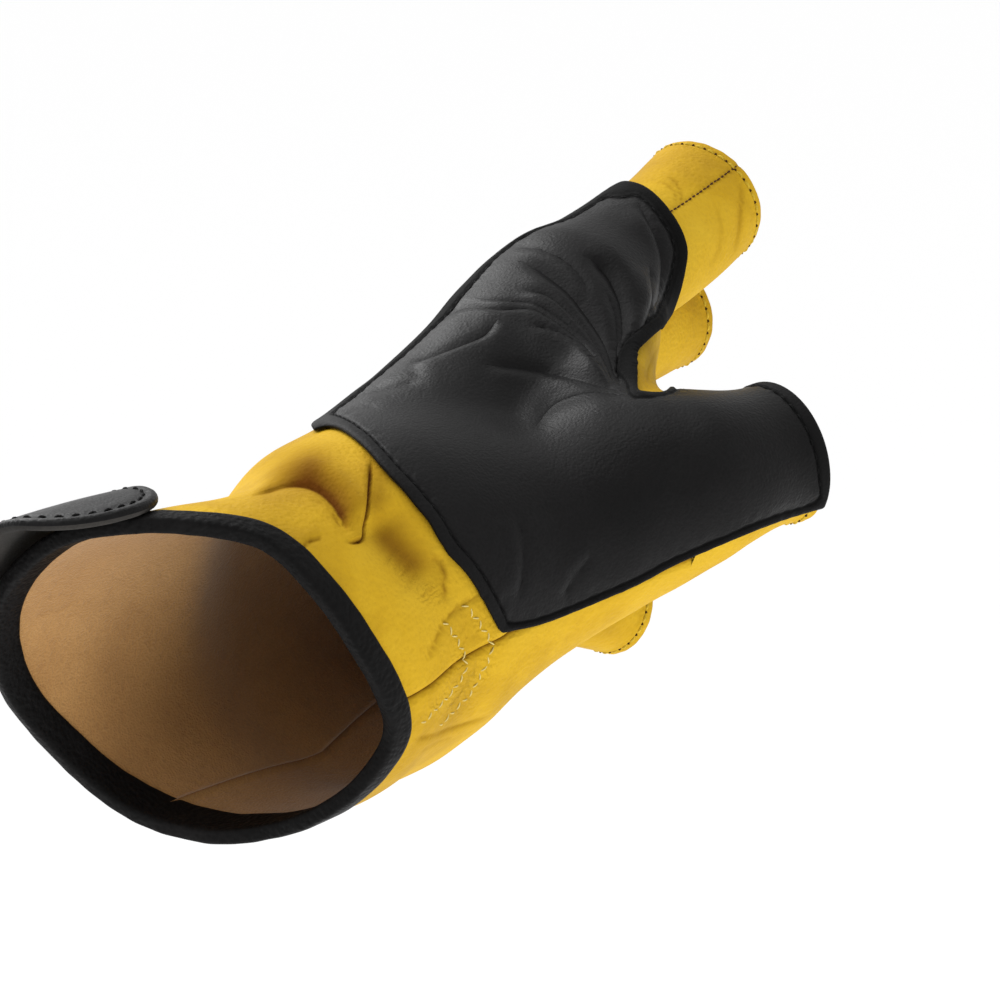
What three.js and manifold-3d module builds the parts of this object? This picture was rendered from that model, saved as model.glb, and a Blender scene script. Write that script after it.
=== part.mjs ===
// Left fingerless leather archery glove, in the rounded form that it has in use.
// Units are millimetres. +X runs from the wrist to the fingers, +Z is up, the palm faces -Y
// and down, and the thumb side is up. The origin is the middle of the wrist opening.
import * as THREE from 'three';
import { mergeVertices } from 'three/addons/utils/BufferGeometryUtils.js';
import Module from 'manifold-3d';

const wasm = await Module();
wasm.setup();

// Driving dimensions
const LEATHER = 1.2;          // glove leather
const PATCH_THICKNESS = 1.2;  // black overlay leather
const GAP = 0.3;              // between neighbouring pieces
const CELL = 6.8;            // facet size of the leather surfaces
const PALM_BLEND = 14;        // rounding between the bars of the palm
const THUMB_BLEND = 10;       // rounding between the palm and the thumb
const FINGER_BLEND = 8;       // rounding between the palm and a finger stall
const CREASE = 3;             // rounding in the crease between two finger stalls
const REACH = 400;            // half size of a trimming block, past the whole glove
const SAMPLE_LOW = [-82, -62, -62];   // corners of the space that holds the glove form
const SAMPLE_HIGH = [185, 78, 96];
const FINISH = { glove: 0.5, patch: 0.55, trim: 0.6 };  // surface roughness

// Round bars whose smooth union is the glove form: ends (x, y, z) and end radii
const PALM_BARS = [
  { name: 'wrist middle', from: [-50, 0, -5], to: [20, 0, -2], radii: [23, 21] },
  { name: 'wrist thumb side', from: [-50, -7, 5], to: [26, -5, 11], radii: [19, 18] },
  { name: 'wrist little side', from: [-50, 8, -13], to: [22, 8, -11], radii: [19, 18] },
  { name: 'cuff palm side', from: [-30, -5, -4], to: [6, -8, -3], radii: [20, 17.5] },
  { name: 'index row', from: [26, 3, 14], to: [96, 18, 42], radii: [15.5, 12.5] },
  { name: 'middle row', from: [30, 10, 8], to: [100, 32, 28], radii: [15, 13] },
  { name: 'ring row', from: [30, 12, -4], to: [96, 36, 9], radii: [15, 13] },
  { name: 'little row', from: [30, 12, -9], to: [92, 37, -9], radii: [14, 12] },
  { name: 'thumb row', from: [36, -10, 10], to: [80, -27, 20], radii: [15, 12.5] },
  { name: 'ball of the thumb', from: [36, -6, -2], to: [74, -16, 10], radii: [13.5, 9] },
  { name: 'heel', from: [36, 7, -10], to: [76, 25, -9], radii: [12, 9] },
  { name: 'web', from: [70, -18, 24], to: [98, 12, 40], radii: [8, 8] },
];

// Stalls: knuckle, direction point, radii there, where the stall starts and ends past the knuckle
const STALLS = {
  index: { from: [100, 18, 46], to: [155, 27, 64], radii: [13, 11.5], start: 20, end: 50 },
  middle: { from: [102, 32, 30], to: [160, 40, 37], radii: [12.5, 11], start: 20, end: 50 },
  ring: { from: [98, 37, 10], to: [152, 37, 2], radii: [13, 10.5], start: 18, end: 47 },
  little: { from: [94, 38, -10], to: [142, 37, -27], radii: [11.5, 9.5], start: 14, end: 43 },
  thumb: { from: [80, -28, 22], to: [108, -34, 24], radii: [12.5, 13], start: -8, end: 19 },
};
const STUB = 27;              // length of a stall where only its root is wanted
const WEB_PLANE = { point: [70, -8, 20], normal: [-0.1, -0.99, 0] };      // thumb side of the web
const FINGER_SIDE = { point: [0, -6, 0], normal: [0, 1, 0] };              // holds all four finger stalls

// Directions round the wrist: towards the thumb and towards the back of the glove
const THUMB_SIDE = [0, -0.5, 0.866];
const BACK_SIDE = [0, 0.866, 0.5];

// Centre line of the wrist and palm: y and z at each x
const CENTRE_LINE = [
  { x: -80, y: -2, z: -2 },
  { x: 30, y: 0, z: 0 },
  { x: 60, y: 8, z: 8 },
  { x: 90, y: 22, z: 14 },
  { x: 125, y: 30, z: 20 },
];
// Side seams: angle round the centre line, 0 at the thumb side, 90 at the back of the glove
const SIDE_SEAMS = [
  { x: -80, thumb_side: -76, little_side: -180 },
  { x: 10, thumb_side: -76, little_side: -180 },
  { x: 18, thumb_side: -68, little_side: -180 },
  { x: 31, thumb_side: -57, little_side: -180 },
  { x: 56, thumb_side: -62, little_side: -180 },
  { x: 125, thumb_side: -60, little_side: -180 },
];
const SEAM_GAP_ANGLE = 0.7;
const WEDGE = { reach: 150, shares: [0, 0.34, 0.66, 1] };   // palm side of the seams, as a block

// Outer edge of the cuff: x at each angle round the wrist
const CUFF = [
  { angle: -175, x: -12 },
  { angle: -160, x: -8 },
  { angle: -145, x: -4 },
  { angle: -125, x: -2 },
  { angle: -100, x: 1 },
  { angle: -80, x: 3 },
  { angle: -62, x: -1 },
  { angle: -45, x: -6 },
  { angle: -25, x: -11 },
  { angle: -5, x: -16 },
  { angle: 12, x: -26 },
  { angle: 32, x: -35 },
  { angle: 65, x: -39 },
  { angle: 100, x: -38 },
  { angle: 130, x: -32 },
  { angle: 158, x: -21 },
];
const CUFF_STEPS = 32;
const CUFF_CENTRE_X = -20;    // where the ring's centre is read from the centre line
const CUFF_WALL_RADII = [16, 24, 32, 40, 100];
const CUFF_CORE_RADIUS = 1;
const CUFF_FAR_X = 300;
const WRIST_RADIUS = 30;
const BINDING_WIDTH = 4.5;
const BINDING_PROUD = 0.7;    // how far the strip stands out and in past the leather

// Closure tab: a window round the wrist, lifted off the leather
const TAB = { angles: [24, 108], x: [-46, -20], radii: [10, 80], lift: 1.4, thickness: 2, corner: 6 };

// Outline of the black patch in the pattern view, millimetres right and up
const PATTERN_EYE = [-325, -364, 133];
const PATTERN_DISTANCE = 518;
const PATTERN_OUT = [-0.709, -0.671, 0.2147];
const PATTERN_DEPTHS = [0.75, 1.5];   // shares of the distance where the pyramid starts and ends
const PATCH_OUTLINE = [
  [-33.5, 14], [-32, 11], [-29, 12], [-26, 10], [-22.5, 7.5], [-16.5, 1.5], [-9.5, -8],
  [-2.5, -18], [1, -22.5], [10.5, -19], [21, -15.5], [34.5, -10], [47, -5], [66, 0],
  [66, 23], [35, 22], [25, 21], [23.5, 23], [24.5, 26], [28, 29.5], [30.5, 35], [32, 40],
  [31.5, 44.5], [29, 49.5], [26, 53.5], [21.5, 57], [16, 60], [2, 54], [-10, 45],
  [-20, 34], [-29, 24], [-36, 18.5],
];
// Planes that end the patch where the pattern view doesn't show it: along the back of the hand,
// and in the web, where the palm side behind the thumb stays bare
const PATCH_BACK = { point: [27.4, 16.1, 29.1], normal: [0.08, 0.812, -0.578] };
const WEB_END = { point: [66.5, -11.4, 11.1], normal: [0.709, 0.671, -0.215] };
const WEB_TOP = { point: [70, -8, 35.5], normal: [0, 0, -1] };

const YELLOW = new THREE.Color(0.62, 0.36, 0.03);
const BLACK = new THREE.Color(0.012, 0.011, 0.012);

const vec = (a) => new THREE.Vector3(...a);
const radians = THREE.MathUtils.degToRad;

// Signed distance from p to a round bar with two end radii
function barDistance(p, a, b, ra, rb) {
  const axis = b.clone().sub(a);
  const length2 = axis.lengthSq();
  const taper = ra - rb;
  const a2 = length2 - taper * taper;
  const pa = p.clone().sub(a);
  const y = pa.dot(axis);
  const z = y - length2;
  const x2 = pa.multiplyScalar(length2).addScaledVector(axis, -y).lengthSq();
  const y2 = y * y * length2;
  const z2 = z * z * length2;
  const k = Math.sign(taper) * taper * taper * x2;
  if (Math.sign(z) * a2 * z2 > k) return Math.sqrt(x2 + z2) / length2 - rb;
  if (Math.sign(y) * a2 * y2 < k) return Math.sqrt(x2 + y2) / length2 - ra;
  return (Math.sqrt(x2 * a2 / length2) + y * taper) / length2 - ra;
}

// Smooth minimum of two distances, rounded over the width k
function blend(a, b, k) {
  const h = THREE.MathUtils.clamp(0.5 + 0.5 * (b - a) / k, 0, 1);
  return b + (a - b) * h - k * h * (1 - h);
}

const palmBars = PALM_BARS.map((bar) => [vec(bar.from), vec(bar.to), ...bar.radii]);

function palmDistance(p) {
  return palmBars.reduce((d, [a, b, ra, rb]) => {
    const e = barDistance(p, a, b, ra, rb);
    return d === null ? e : blend(d, e, PALM_BLEND);
  }, null);
}

// A stall's own bar, whole or as a stub
function stallBar(name, whole) {
  const { from, to, radii } = STALLS[name];
  const a = vec(from);
  const full = vec(to).sub(a).length();
  const share = whole ? 1 : STUB / full;
  const b = a.clone().lerp(vec(to), share);
  return [a, b, radii[0], radii[0] + (radii[1] - radii[0]) * share];
}

// Distance to the palm with the named stalls, each [name, whole]
function gloveField(stalls) {
  const bars = stalls.map(([name, whole]) => [name, ...stallBar(name, whole)]);
  return (p) => {
    const palm = palmDistance(p);
    return bars.reduce((d, [name, a, b, ra, rb]) => {
      const k = name === 'thumb' ? THUMB_BLEND : FINGER_BLEND;
      const e = blend(palm, barDistance(p, a, b, ra, rb), k);
      return d === null ? e : blend(d, e, CREASE);
    }, null);
  };
}

function slope(field, p) {
  const h = 0.05;
  const g = [0, 1, 2].map((i) => {
    const step = new THREE.Vector3().setComponent(i, h);
    return field(p.clone().add(step)) - field(p.clone().sub(step));
  });
  return vec(g).divideScalar(2 * h);
}

// Closed facet surface where field = 0: one vertex in each crossed cell, then moved onto the surface
function facetSurface(field) {
  const low = SAMPLE_LOW;
  const n = low.map((v, i) => Math.ceil((SAMPLE_HIGH[i] - v) / CELL) + 1);
  const index = (i, j, k) => (i * n[1] + j) * n[2] + k;
  const corner = (i, j, k) => new THREE.Vector3(low[0] + i * CELL, low[1] + j * CELL, low[2] + k * CELL);
  const value = new Float64Array(n[0] * n[1] * n[2]);
  for (let i = 0; i < n[0]; i++) {
    for (let j = 0; j < n[1]; j++) {
      for (let k = 0; k < n[2]; k++) value[index(i, j, k)] = field(corner(i, j, k));
    }
  }
  const cells = new Map();
  const quads = [];
  const order = [[1, 1], [0, 1], [0, 0], [1, 0]];
  const visit = (c, axis) => {
    const next = [...c];
    next[axis] += 1;
    if (next[axis] >= n[axis]) return;
    const f0 = value[index(...c)];
    const f1 = value[index(...next)];
    if ((f0 < 0) === (f1 < 0)) return;
    const crossing = corner(...c).lerp(corner(...next), f0 / (f0 - f1));
    const [u, v] = [(axis + 1) % 3, (axis + 2) % 3];
    const quad = order.map(([du, dv]) => {
      const cell = [...c];
      cell[u] -= du;
      cell[v] -= dv;
      const key = index(...cell);
      if (!cells.has(key)) cells.set(key, { sum: new THREE.Vector3(), count: 0 });
      const entry = cells.get(key);
      entry.sum.add(crossing);
      entry.count += 1;
      return entry;
    });
    quads.push(f0 < 0 ? quad : quad.reverse());
  };
  for (let i = 0; i < n[0]; i++) {
    for (let j = 0; j < n[1]; j++) {
      for (let k = 0; k < n[2]; k++) [0, 1, 2].forEach((axis) => visit([i, j, k], axis));
    }
  }
  const points = [];
  for (const entry of cells.values()) {
    const p = entry.sum.divideScalar(entry.count);
    for (let round = 0; round < 4; round++) {
      const g = slope(field, p);
      p.addScaledVector(g, -field(p) / Math.max(g.lengthSq(), 0.3));
    }
    entry.number = points.length;
    points.push({ at: p, normal: slope(field, p).normalize() });
  }
  const triangles = [];
  for (const [a, b, c, d] of quads) {
    const short = a.sum.distanceTo(c.sum) < b.sum.distanceTo(d.sum);
    const split = short ? [[a, b, c], [a, c, d]] : [[a, b, d], [b, c, d]];
    split.forEach((t) => triangles.push(...t.map((entry) => entry.number)));
  }
  return { points, triangles };
}

function toSolid(positions, triangles) {
  return new wasm.Manifold(new wasm.Mesh({
    numProp: 3,
    vertProperties: Float32Array.from(positions),
    triVerts: Uint32Array.from(triangles),
  }));
}

// Solid inside a facet surface moved outward by an amount
function offsetSolid(surface, out) {
  const positions = surface.points.flatMap(({ at, normal }) => at.clone().addScaledVector(normal, out).toArray());
  return toSolid(positions, surface.triangles);
}

function geometrySolid(geometry) {
  const bare = geometry.index ? geometry.clone() : geometry;
  bare.deleteAttribute('normal');
  bare.deleteAttribute('uv');
  const merged = mergeVertices(bare, 1e-4);
  return toSolid(merged.attributes.position.array, merged.index.array);
}

// Everything on the side of a plane that its normal points to
function beyond(point, normal, shift = 0) {
  const n = vec(normal).normalize();
  const block = new THREE.BoxGeometry(2 * REACH, 2 * REACH, 2 * REACH).translate(0, 0, REACH);
  block.applyQuaternion(new THREE.Quaternion().setFromUnitVectors(new THREE.Vector3(0, 0, 1), n));
  const at = vec(point).addScaledVector(n, shift);
  return geometrySolid(block.translate(at.x, at.y, at.z));
}

// Closed loft through rings of equal count, with fan ends
function loft(rings) {
  const count = rings[0].length;
  const positions = rings.flat().flatMap((p) => p.toArray());
  const triangles = [];
  for (let r = 0; r + 1 < rings.length; r++) {
    for (let i = 0; i < count; i++) {
      const j = (i + 1) % count;
      const [a, b, c, d] = [r * count + i, r * count + j, (r + 1) * count + j, (r + 1) * count + i];
      triangles.push(a, b, c, a, c, d);
    }
  }
  const last = (rings.length - 1) * count;
  const flat = flatten(rings[0]);
  const area = THREE.ShapeUtils.area;
  for (const t of THREE.ShapeUtils.triangulateShape(flat, [])) {
    const turned = area(t.map((i) => flat[i])) * area(flat) < 0;
    const [a, b, c] = turned ? [t[0], t[2], t[1]] : t;
    triangles.push(a, c, b, last + a, last + b, last + c);
  }
  return outward(positions, triangles);
}

// Ring points in the plane of their two widest directions, for the end faces
function flatten(ring) {
  const box = new THREE.Box3().setFromPoints(ring);
  const size = box.getSize(new THREE.Vector3()).toArray();
  const drop = size.indexOf(Math.min(...size));
  const [u, v] = [(drop + 1) % 3, (drop + 2) % 3];
  return ring.map((p) => new THREE.Vector2(p.getComponent(u), p.getComponent(v)));
}

// Turns the triangles round where they face inward
function outward(positions, triangles) {
  const at = (i) => new THREE.Vector3().fromArray(positions, 3 * i);
  let volume = 0;
  for (let i = 0; i < triangles.length; i += 3) {
    const [a, b, c] = [0, 1, 2].map((k) => at(triangles[i + k]));
    volume += a.dot(b.cross(c));
  }
  if (volume < 0) {
    for (let i = 0; i < triangles.length; i += 3) {
      [triangles[i + 1], triangles[i + 2]] = [triangles[i + 2], triangles[i + 1]];
    }
  }
  return toSolid(positions, triangles);
}

// Straight interpolation in a table's rows
function lookUp(table, key, at, column) {
  const after = table.findIndex((row) => row[key] > at);
  if (after === 0) return table[0][column];
  if (after < 0) return table[table.length - 1][column];
  const [a, b] = [table[after - 1], table[after]];
  return THREE.MathUtils.mapLinear(at, a[key], b[key], a[column], b[column]);
}

// Point at an angle and radius round the centre line
function around(x, angle, radius) {
  const a = radians(angle);
  const centre = new THREE.Vector3(x, lookUp(CENTRE_LINE, 'x', x, 'y'), lookUp(CENTRE_LINE, 'x', x, 'z'));
  return centre.addScaledVector(vec(THUMB_SIDE), radius * Math.cos(a))
    .addScaledVector(vec(BACK_SIDE), radius * Math.sin(a));
}

// Wedge on the palm side of both side seams, widened by an angle
function palmWedge(widen) {
  const rings = SIDE_SEAMS.map(({ x, thumb_side, little_side }) => {
    const [first, last] = [thumb_side + widen, little_side - widen];
    const rim = WEDGE.shares.map((share) => around(x, first + share * (last - first), WEDGE.reach));
    return [around(x, 0, 0), ...rim];
  });
  return loft(rings);
}

// Everything past the cuff edge on the finger side, with the edge moved by a shift
function pastCuff(shift) {
  const lap = 2 * Math.PI * WRIST_RADIUS;
  const row = (i) => {
    const turns = Math.floor(i / CUFF.length);
    const { angle, x } = CUFF[i - turns * CUFF.length];
    return new THREE.Vector2(radians(angle) * WRIST_RADIUS + turns * lap, x);
  };
  const rows = Array.from({ length: CUFF.length + 5 }, (_, i) => row(i - 2));
  const curve = new THREE.SplineCurve(rows);
  const share = (i) => (2 + i * CUFF.length / CUFF_STEPS) / (rows.length - 1);
  const moved = Array.from({ length: CUFF_STEPS }, (_, i) => {
    const along = curve.getTangent(share(i));
    return curve.getPoint(share(i)).add(new THREE.Vector2(-along.y, along.x).multiplyScalar(shift));
  });
  const mean = moved.reduce((sum, p) => sum + p.y, 0) / CUFF_STEPS;
  const ring = (radius, x) => moved.map((p) => {
    return around(CUFF_CENTRE_X, THREE.MathUtils.radToDeg(p.x / WRIST_RADIUS), radius).setX(x ?? p.y);
  });
  const walls = CUFF_WALL_RADII.map((radius) => ring(radius));
  const outermost = CUFF_WALL_RADII[CUFF_WALL_RADII.length - 1];
  return loft([ring(CUFF_CORE_RADIUS, mean), ...walls, ring(outermost, CUFF_FAR_X),
    ring(CUFF_CORE_RADIUS, CUFF_FAR_X)]);
}

// Pyramid through an outline of the pattern view, with its point at the eye
function patternPyramid(outline) {
  const eye = vec(PATTERN_EYE);
  const out = vec(PATTERN_OUT).normalize();
  const right = new THREE.Vector3(0, 0, 1).cross(out).normalize();
  const up = out.clone().cross(right);
  const at = (u, v, depth) => eye.clone().addScaledVector(out, -PATTERN_DISTANCE * depth)
    .addScaledVector(right, u * depth).addScaledVector(up, v * depth);
  const rings = PATTERN_DEPTHS.map((depth) => outline.map(([u, v]) => at(u, v, depth)));
  return loft(rings);
}

const ROOTS = ['middle', 'ring', 'little'];
const gripSurface = facetSurface(
  gloveField([['index', true], ['thumb', true], ...ROOTS.map((name) => [name, false])]));
const wholeForm = {};
for (const name of ROOTS) wholeForm[name] = facetSurface(gloveField([[name, true]]));

const shellOf = (surface) => offsetSolid(surface, 0).subtract(offsetSolid(surface, -LEATHER));
const gripShell = shellOf(gripSurface);

function stallPlane(name, along) {
  const { from, to } = STALLS[name];
  const direction = vec(to).sub(vec(from)).normalize();
  return [vec(from).addScaledVector(direction, along).toArray(), direction.toArray()];
}

// Space of one stall past its root, kept apart from its neighbours by planes that run along both
const FINGERS = ['index', 'middle', 'ring', 'little'];
function stallRegion(name, grow) {
  const { start } = STALLS[name];
  let region = beyond(...stallPlane(name, start), -grow);
  if (name === 'thumb') return region.intersect(beyond(WEB_PLANE.point, WEB_PLANE.normal, -grow));
  const place = FINGERS.indexOf(name);
  const [own, ownWay] = stallPlane(name, start);
  for (const other of [FINGERS[place - 1], FINGERS[place + 1]]) {
    if (!other) continue;
    const [far, farWay] = stallPlane(other, STALLS[other].start);
    const middle = vec(own).add(vec(far)).multiplyScalar(0.5).toArray();
    const along = vec(ownWay).add(vec(farWay)).normalize();
    const apart = vec(own).sub(vec(far));
    apart.addScaledVector(along, -apart.dot(along));
    region = region.intersect(beyond(middle, apart.toArray(), -grow));
  }
  return region.intersect(beyond(FINGER_SIDE.point, FINGER_SIDE.normal));
}

const leatherStart = pastCuff(BINDING_WIDTH + GAP / 2);
const stalls = {};
for (const name of Object.keys(STALLS)) {
  const shell = ROOTS.includes(name) ? shellOf(wholeForm[name]) : gripShell;
  stalls[name] = shell.intersect(stallRegion(name, -GAP / 2))
    .subtract(beyond(...stallPlane(name, STALLS[name].end)));
}

let panels = gripShell.intersect(leatherStart);
for (const name of Object.keys(STALLS)) panels = panels.subtract(stallRegion(name, GAP / 2));
const palmPanel = panels.intersect(palmWedge(-SEAM_GAP_ANGLE / 2));
const backPanel = panels.subtract(palmWedge(SEAM_GAP_ANGLE / 2));

const binding = offsetSolid(gripSurface, BINDING_PROUD)
  .subtract(offsetSolid(gripSurface, -LEATHER - BINDING_PROUD))
  .intersect(pastCuff(0))
  .subtract(pastCuff(BINDING_WIDTH - GAP / 2));

const patch = offsetSolid(gripSurface, GAP + PATCH_THICKNESS)
  .subtract(offsetSolid(gripSurface, GAP))
  .intersect(patternPyramid(PATCH_OUTLINE))
  .subtract(beyond(PATCH_BACK.point, PATCH_BACK.normal))
  .subtract(beyond(WEB_END.point, WEB_END.normal).intersect(beyond(WEB_TOP.point, WEB_TOP.normal))
    .intersect(beyond(WEB_PLANE.point, WEB_PLANE.normal.map((value) => -value))))
  .subtract(beyond(...stallPlane('thumb', STALLS.thumb.end)).intersect(stallRegion('thumb', GAP)));

// Tab outline with cut corners, as a block round the wrist
function tabBlock() {
  const [a0, a1] = TAB.angles;
  const [x0, x1] = TAB.x;
  const cornerAngle = THREE.MathUtils.radToDeg(TAB.corner / WRIST_RADIUS);
  const columns = [
    [a0, x0 + TAB.corner, x1 - TAB.corner], [a0 + cornerAngle, x0, x1],
    [(a0 + a1) / 2, x0, x1], [a1 - cornerAngle, x0, x1], [a1, x0 + TAB.corner, x1 - TAB.corner],
  ];
  const rings = columns.map(([angle, low, high]) => {
    const [inner, outer] = TAB.radii;
    const corners = [[inner, low], [inner, high], [outer, high], [outer, low]];
    return corners.map(([radius, x]) => around(CUFF_CENTRE_X, angle, radius).setX(x));
  });
  return loft(rings);
}
const tab = offsetSolid(gripSurface, TAB.lift + TAB.thickness)
  .subtract(offsetSolid(gripSurface, TAB.lift))
  .intersect(tabBlock());

const glove = new THREE.Group();

// Adds the largest body of a solid, without the slivers that a cut leaves
function addPiece(name, solid, color, roughness) {
  const [body] = solid.decompose().sort((a, b) => b.volume() - a.volume());
  const { vertProperties, triVerts } = body.getMesh();
  const geometry = new THREE.BufferGeometry();
  geometry.setAttribute('position', new THREE.BufferAttribute(vertProperties, 3));
  geometry.setIndex(new THREE.BufferAttribute(triVerts, 1));
  const material = new THREE.MeshStandardMaterial({ color, roughness, metalness: 0 });
  const mesh = new THREE.Mesh(geometry, material);
  mesh.name = name;
  glove.add(mesh);
}

addPiece('back_panel', backPanel, YELLOW, FINISH.glove);
addPiece('palm_panel', palmPanel, YELLOW, FINISH.glove);
for (const name of Object.keys(STALLS)) addPiece(`${name}_stall`, stalls[name], YELLOW, FINISH.glove);
addPiece('grip_patch', patch, BLACK, FINISH.patch);
addPiece('wrist_binding', binding, BLACK, FINISH.trim);
addPiece('closure_tab', tab, BLACK, FINISH.trim);

export default glove;
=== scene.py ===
import math

import bpy
import numpy as np
from mathutils import Matrix


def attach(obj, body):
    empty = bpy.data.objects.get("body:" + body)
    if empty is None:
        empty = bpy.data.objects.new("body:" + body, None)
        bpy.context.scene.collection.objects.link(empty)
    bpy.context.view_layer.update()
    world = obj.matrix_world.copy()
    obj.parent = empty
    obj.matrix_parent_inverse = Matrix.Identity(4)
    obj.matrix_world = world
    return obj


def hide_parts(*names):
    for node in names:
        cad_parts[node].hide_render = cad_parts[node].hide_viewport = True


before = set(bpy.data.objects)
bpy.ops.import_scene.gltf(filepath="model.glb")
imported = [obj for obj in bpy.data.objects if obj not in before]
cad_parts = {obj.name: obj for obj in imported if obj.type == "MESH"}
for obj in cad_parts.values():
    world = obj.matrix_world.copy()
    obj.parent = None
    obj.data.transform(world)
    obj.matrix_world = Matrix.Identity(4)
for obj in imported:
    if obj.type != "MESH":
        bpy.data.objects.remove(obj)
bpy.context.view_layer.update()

# Back panel: smooth yellow leather over the back of the glove and round the wrist.
# It is cut flat, sewn to the palm panel at the two side seams, and keeps the rounded form and
# the folds that wear has given it. Lengths in this file are millimetres until a mesh is made.
MM = 0.001
LEATHER = 1.2
NET_STEP = 0.88
PALM_ROUNDING = 14
THUMB_ROUNDING = 10
FINGER_ROUNDING = 8
CREASE_ROUNDING = 3


def by_name(columns, table):
    """A table with a name for each row, as a dict of dicts by the names of the columns."""
    return {name: dict(zip(columns, row)) for name, row in table.items()}


GLOVE_BARS = by_name(("start", "end", "radii"), {
    "wrist middle": ((-50, 0, -5), (20, 0, -2), (23, 21)),
    "wrist thumb side": ((-50, -7, 5), (26, -5, 11), (19, 18)),
    "wrist little side": ((-50, 8, -13), (22, 8, -11), (19, 18)),
    "cuff palm side": ((-30, -5, -4), (6, -8, -3), (20, 17.5)),
    "index row": ((26, 3, 14), (96, 18, 42), (15.5, 12.5)),
    "middle row": ((30, 10, 8), (100, 32, 28), (15, 13)),
    "ring row": ((30, 12, -4), (96, 36, 9), (15, 13)),
    "little row": ((30, 12, -9), (92, 37, -9), (14, 12)),
    "thumb row": ((36, -10, 10), (80, -27, 20), (15, 12.5)),
    "thumb ball": ((36, -6, -2), (74, -16, 10), (13.5, 9)),
    "heel": ((36, 7, -10), (76, 25, -9), (12, 9)),
    "web": ((70, -18, 24), (98, 12, 40), (8, 8)),
})
STALLS = by_name(("start", "end", "radii", "root", "rim"), {
    "index": ((100, 18, 46), (155, 27, 64), (13, 11.5), 20, 50.8),
    "middle": ((102, 32, 30), (160, 40, 37), (12.5, 11), 20, 50.8),
    "ring": ((98, 37, 10), (152, 37, 2), (13, 10.5), 18, 47),
    "little": ((94, 38, -10), (142, 37, -27), (11.5, 9.5), 14, 43),
    "thumb": ((80, -28, 22), (108, -34, 24), (12.5, 13), -8, 21),
})
RIM_LEAN = {"thumb": (0, 0, -0.09)}
FINGER_ROW = ["index", "middle", "ring", "little"]
STUB_LENGTH = 27


def bar_distance(points, start, end, radii):
    """Distance to a round bar: to the cone between its ends, or to the ball at the nearer end."""
    axis = end - start
    square = axis @ axis
    taper = radii[0] - radii[1]
    rest = square - taper ** 2
    off = points - start
    along = off @ axis
    past = along - square
    side = off * square - along[:, None] * axis
    side = np.einsum("ij,ij->i", side, side)
    limit = np.sign(taper) * taper ** 2 * side
    at_end = np.sign(past) * rest * past ** 2 * square > limit
    at_start = np.sign(along) * rest * along ** 2 * square < limit
    distance = (np.sqrt(side * rest / square) + along * taper) / square - radii[0]
    distance = np.where(at_start, np.sqrt(side + along ** 2 * square) / square - radii[0], distance)
    return np.where(at_end, np.sqrt(side + past ** 2 * square) / square - radii[1], distance)


def round_join(a, b, width):
    """Smaller of two distances, with the corner between them rounded over a width."""
    share = np.clip(0.5 + 0.5 * (b - a) / width, 0, 1)
    return b + (a - b) * share - width * share * (1 - share)


def palm_distance(points):
    """Bars of the wrist and palm, joined one after the other."""
    distance = None
    for bar in GLOVE_BARS.values():
        ends = np.array([bar["start"], bar["end"]], float)
        near = bar_distance(points, *ends, bar["radii"])
        distance = near if distance is None else round_join(distance, near, PALM_ROUNDING)
    return distance


def stall_axis(name):
    """Start point, direction and length of a stall."""
    start = np.array(STALLS[name]["start"], float)
    axis = np.array(STALLS[name]["end"], float) - start
    length = np.linalg.norm(axis)
    return start, axis / length, length


def stall_distance(points, name, whole):
    """The bar of one stall, or only the stub of it that the palm carries."""
    start, direction, length = stall_axis(name)
    reach = length if whole else STUB_LENGTH
    first, last = STALLS[name]["radii"]
    return bar_distance(points, start, start + reach * direction,
                        (first, first + (last - first) * reach / length))


def glove_distance(stalls):
    """Distance to the palm with some stalls. Each stall is joined to the palm, then to the others."""
    def distance(points):
        palm = palm_distance(points)
        total = None
        for name, whole in stalls.items():
            width = THUMB_ROUNDING if name == "thumb" else FINGER_ROUNDING
            joined = round_join(palm, stall_distance(points, name, whole), width)
            total = joined if total is None else round_join(total, joined, CREASE_ROUNDING)
        return total
    return distance


def surface_net(distance, low, high):
    """Faces where the distance is 0. Each grid cell that the surface crosses gets one corner, at the
    mean of the crossings of its edges, and the four cells round a crossed edge make a face. Only
    points near the surface are measured one by one, the others in blocks of 4 x 4 x 4."""
    low = np.array(low, float)
    blocks = np.ceil((np.array(high) - low) / (4 * NET_STEP)).astype(int)
    middles = [low[i] + NET_STEP * (4 * np.arange(blocks[i]) + 1.5) for i in range(3)]
    middles = np.stack(np.meshgrid(*middles, indexing="ij"), -1).reshape(-1, 3)
    value = distance(middles).reshape(blocks)
    for axis in range(3):
        value = np.repeat(value, 4, axis)
    near = np.argwhere(np.abs(value) < 4.4 * NET_STEP)
    value[tuple(near.T)] = distance(low + NET_STEP * near)
    crossings, cells = [], []
    for axis in range(3):
        across, over = (axis + 1) % 3, (axis + 2) % 3
        ahead = np.roll(value, -1, axis)
        turned = (value < 0) != (ahead < 0)
        at = np.argwhere(turned)
        place = at.astype(float)
        place[:, axis] += value[turned] / (value[turned] - ahead[turned])
        ring = np.repeat(at[:, None], 4, 1)
        ring[:, :, across] -= [1, 0, 0, 1]
        ring[:, :, over] -= [1, 1, 0, 0]
        inward = value[turned] > 0
        ring[inward] = ring[inward][:, ::-1]
        within = (ring >= 0).all((1, 2)) & (at[:, axis] < value.shape[axis] - 1)
        crossings.append(np.repeat(place[within, None], 4, 1))
        cells.append(ring[within])
    crossings = np.concatenate(crossings).reshape(-1, 3)
    cells = np.ravel_multi_index(np.concatenate(cells).reshape(-1, 3).T, value.shape)
    _, corner = np.unique(cells, return_inverse=True)
    count = np.bincount(corner)
    points = np.stack([np.bincount(corner, crossings[:, i]) / count for i in range(3)], 1)
    quads = corner.reshape(-1, 4)
    return low + NET_STEP * points, quads


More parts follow.
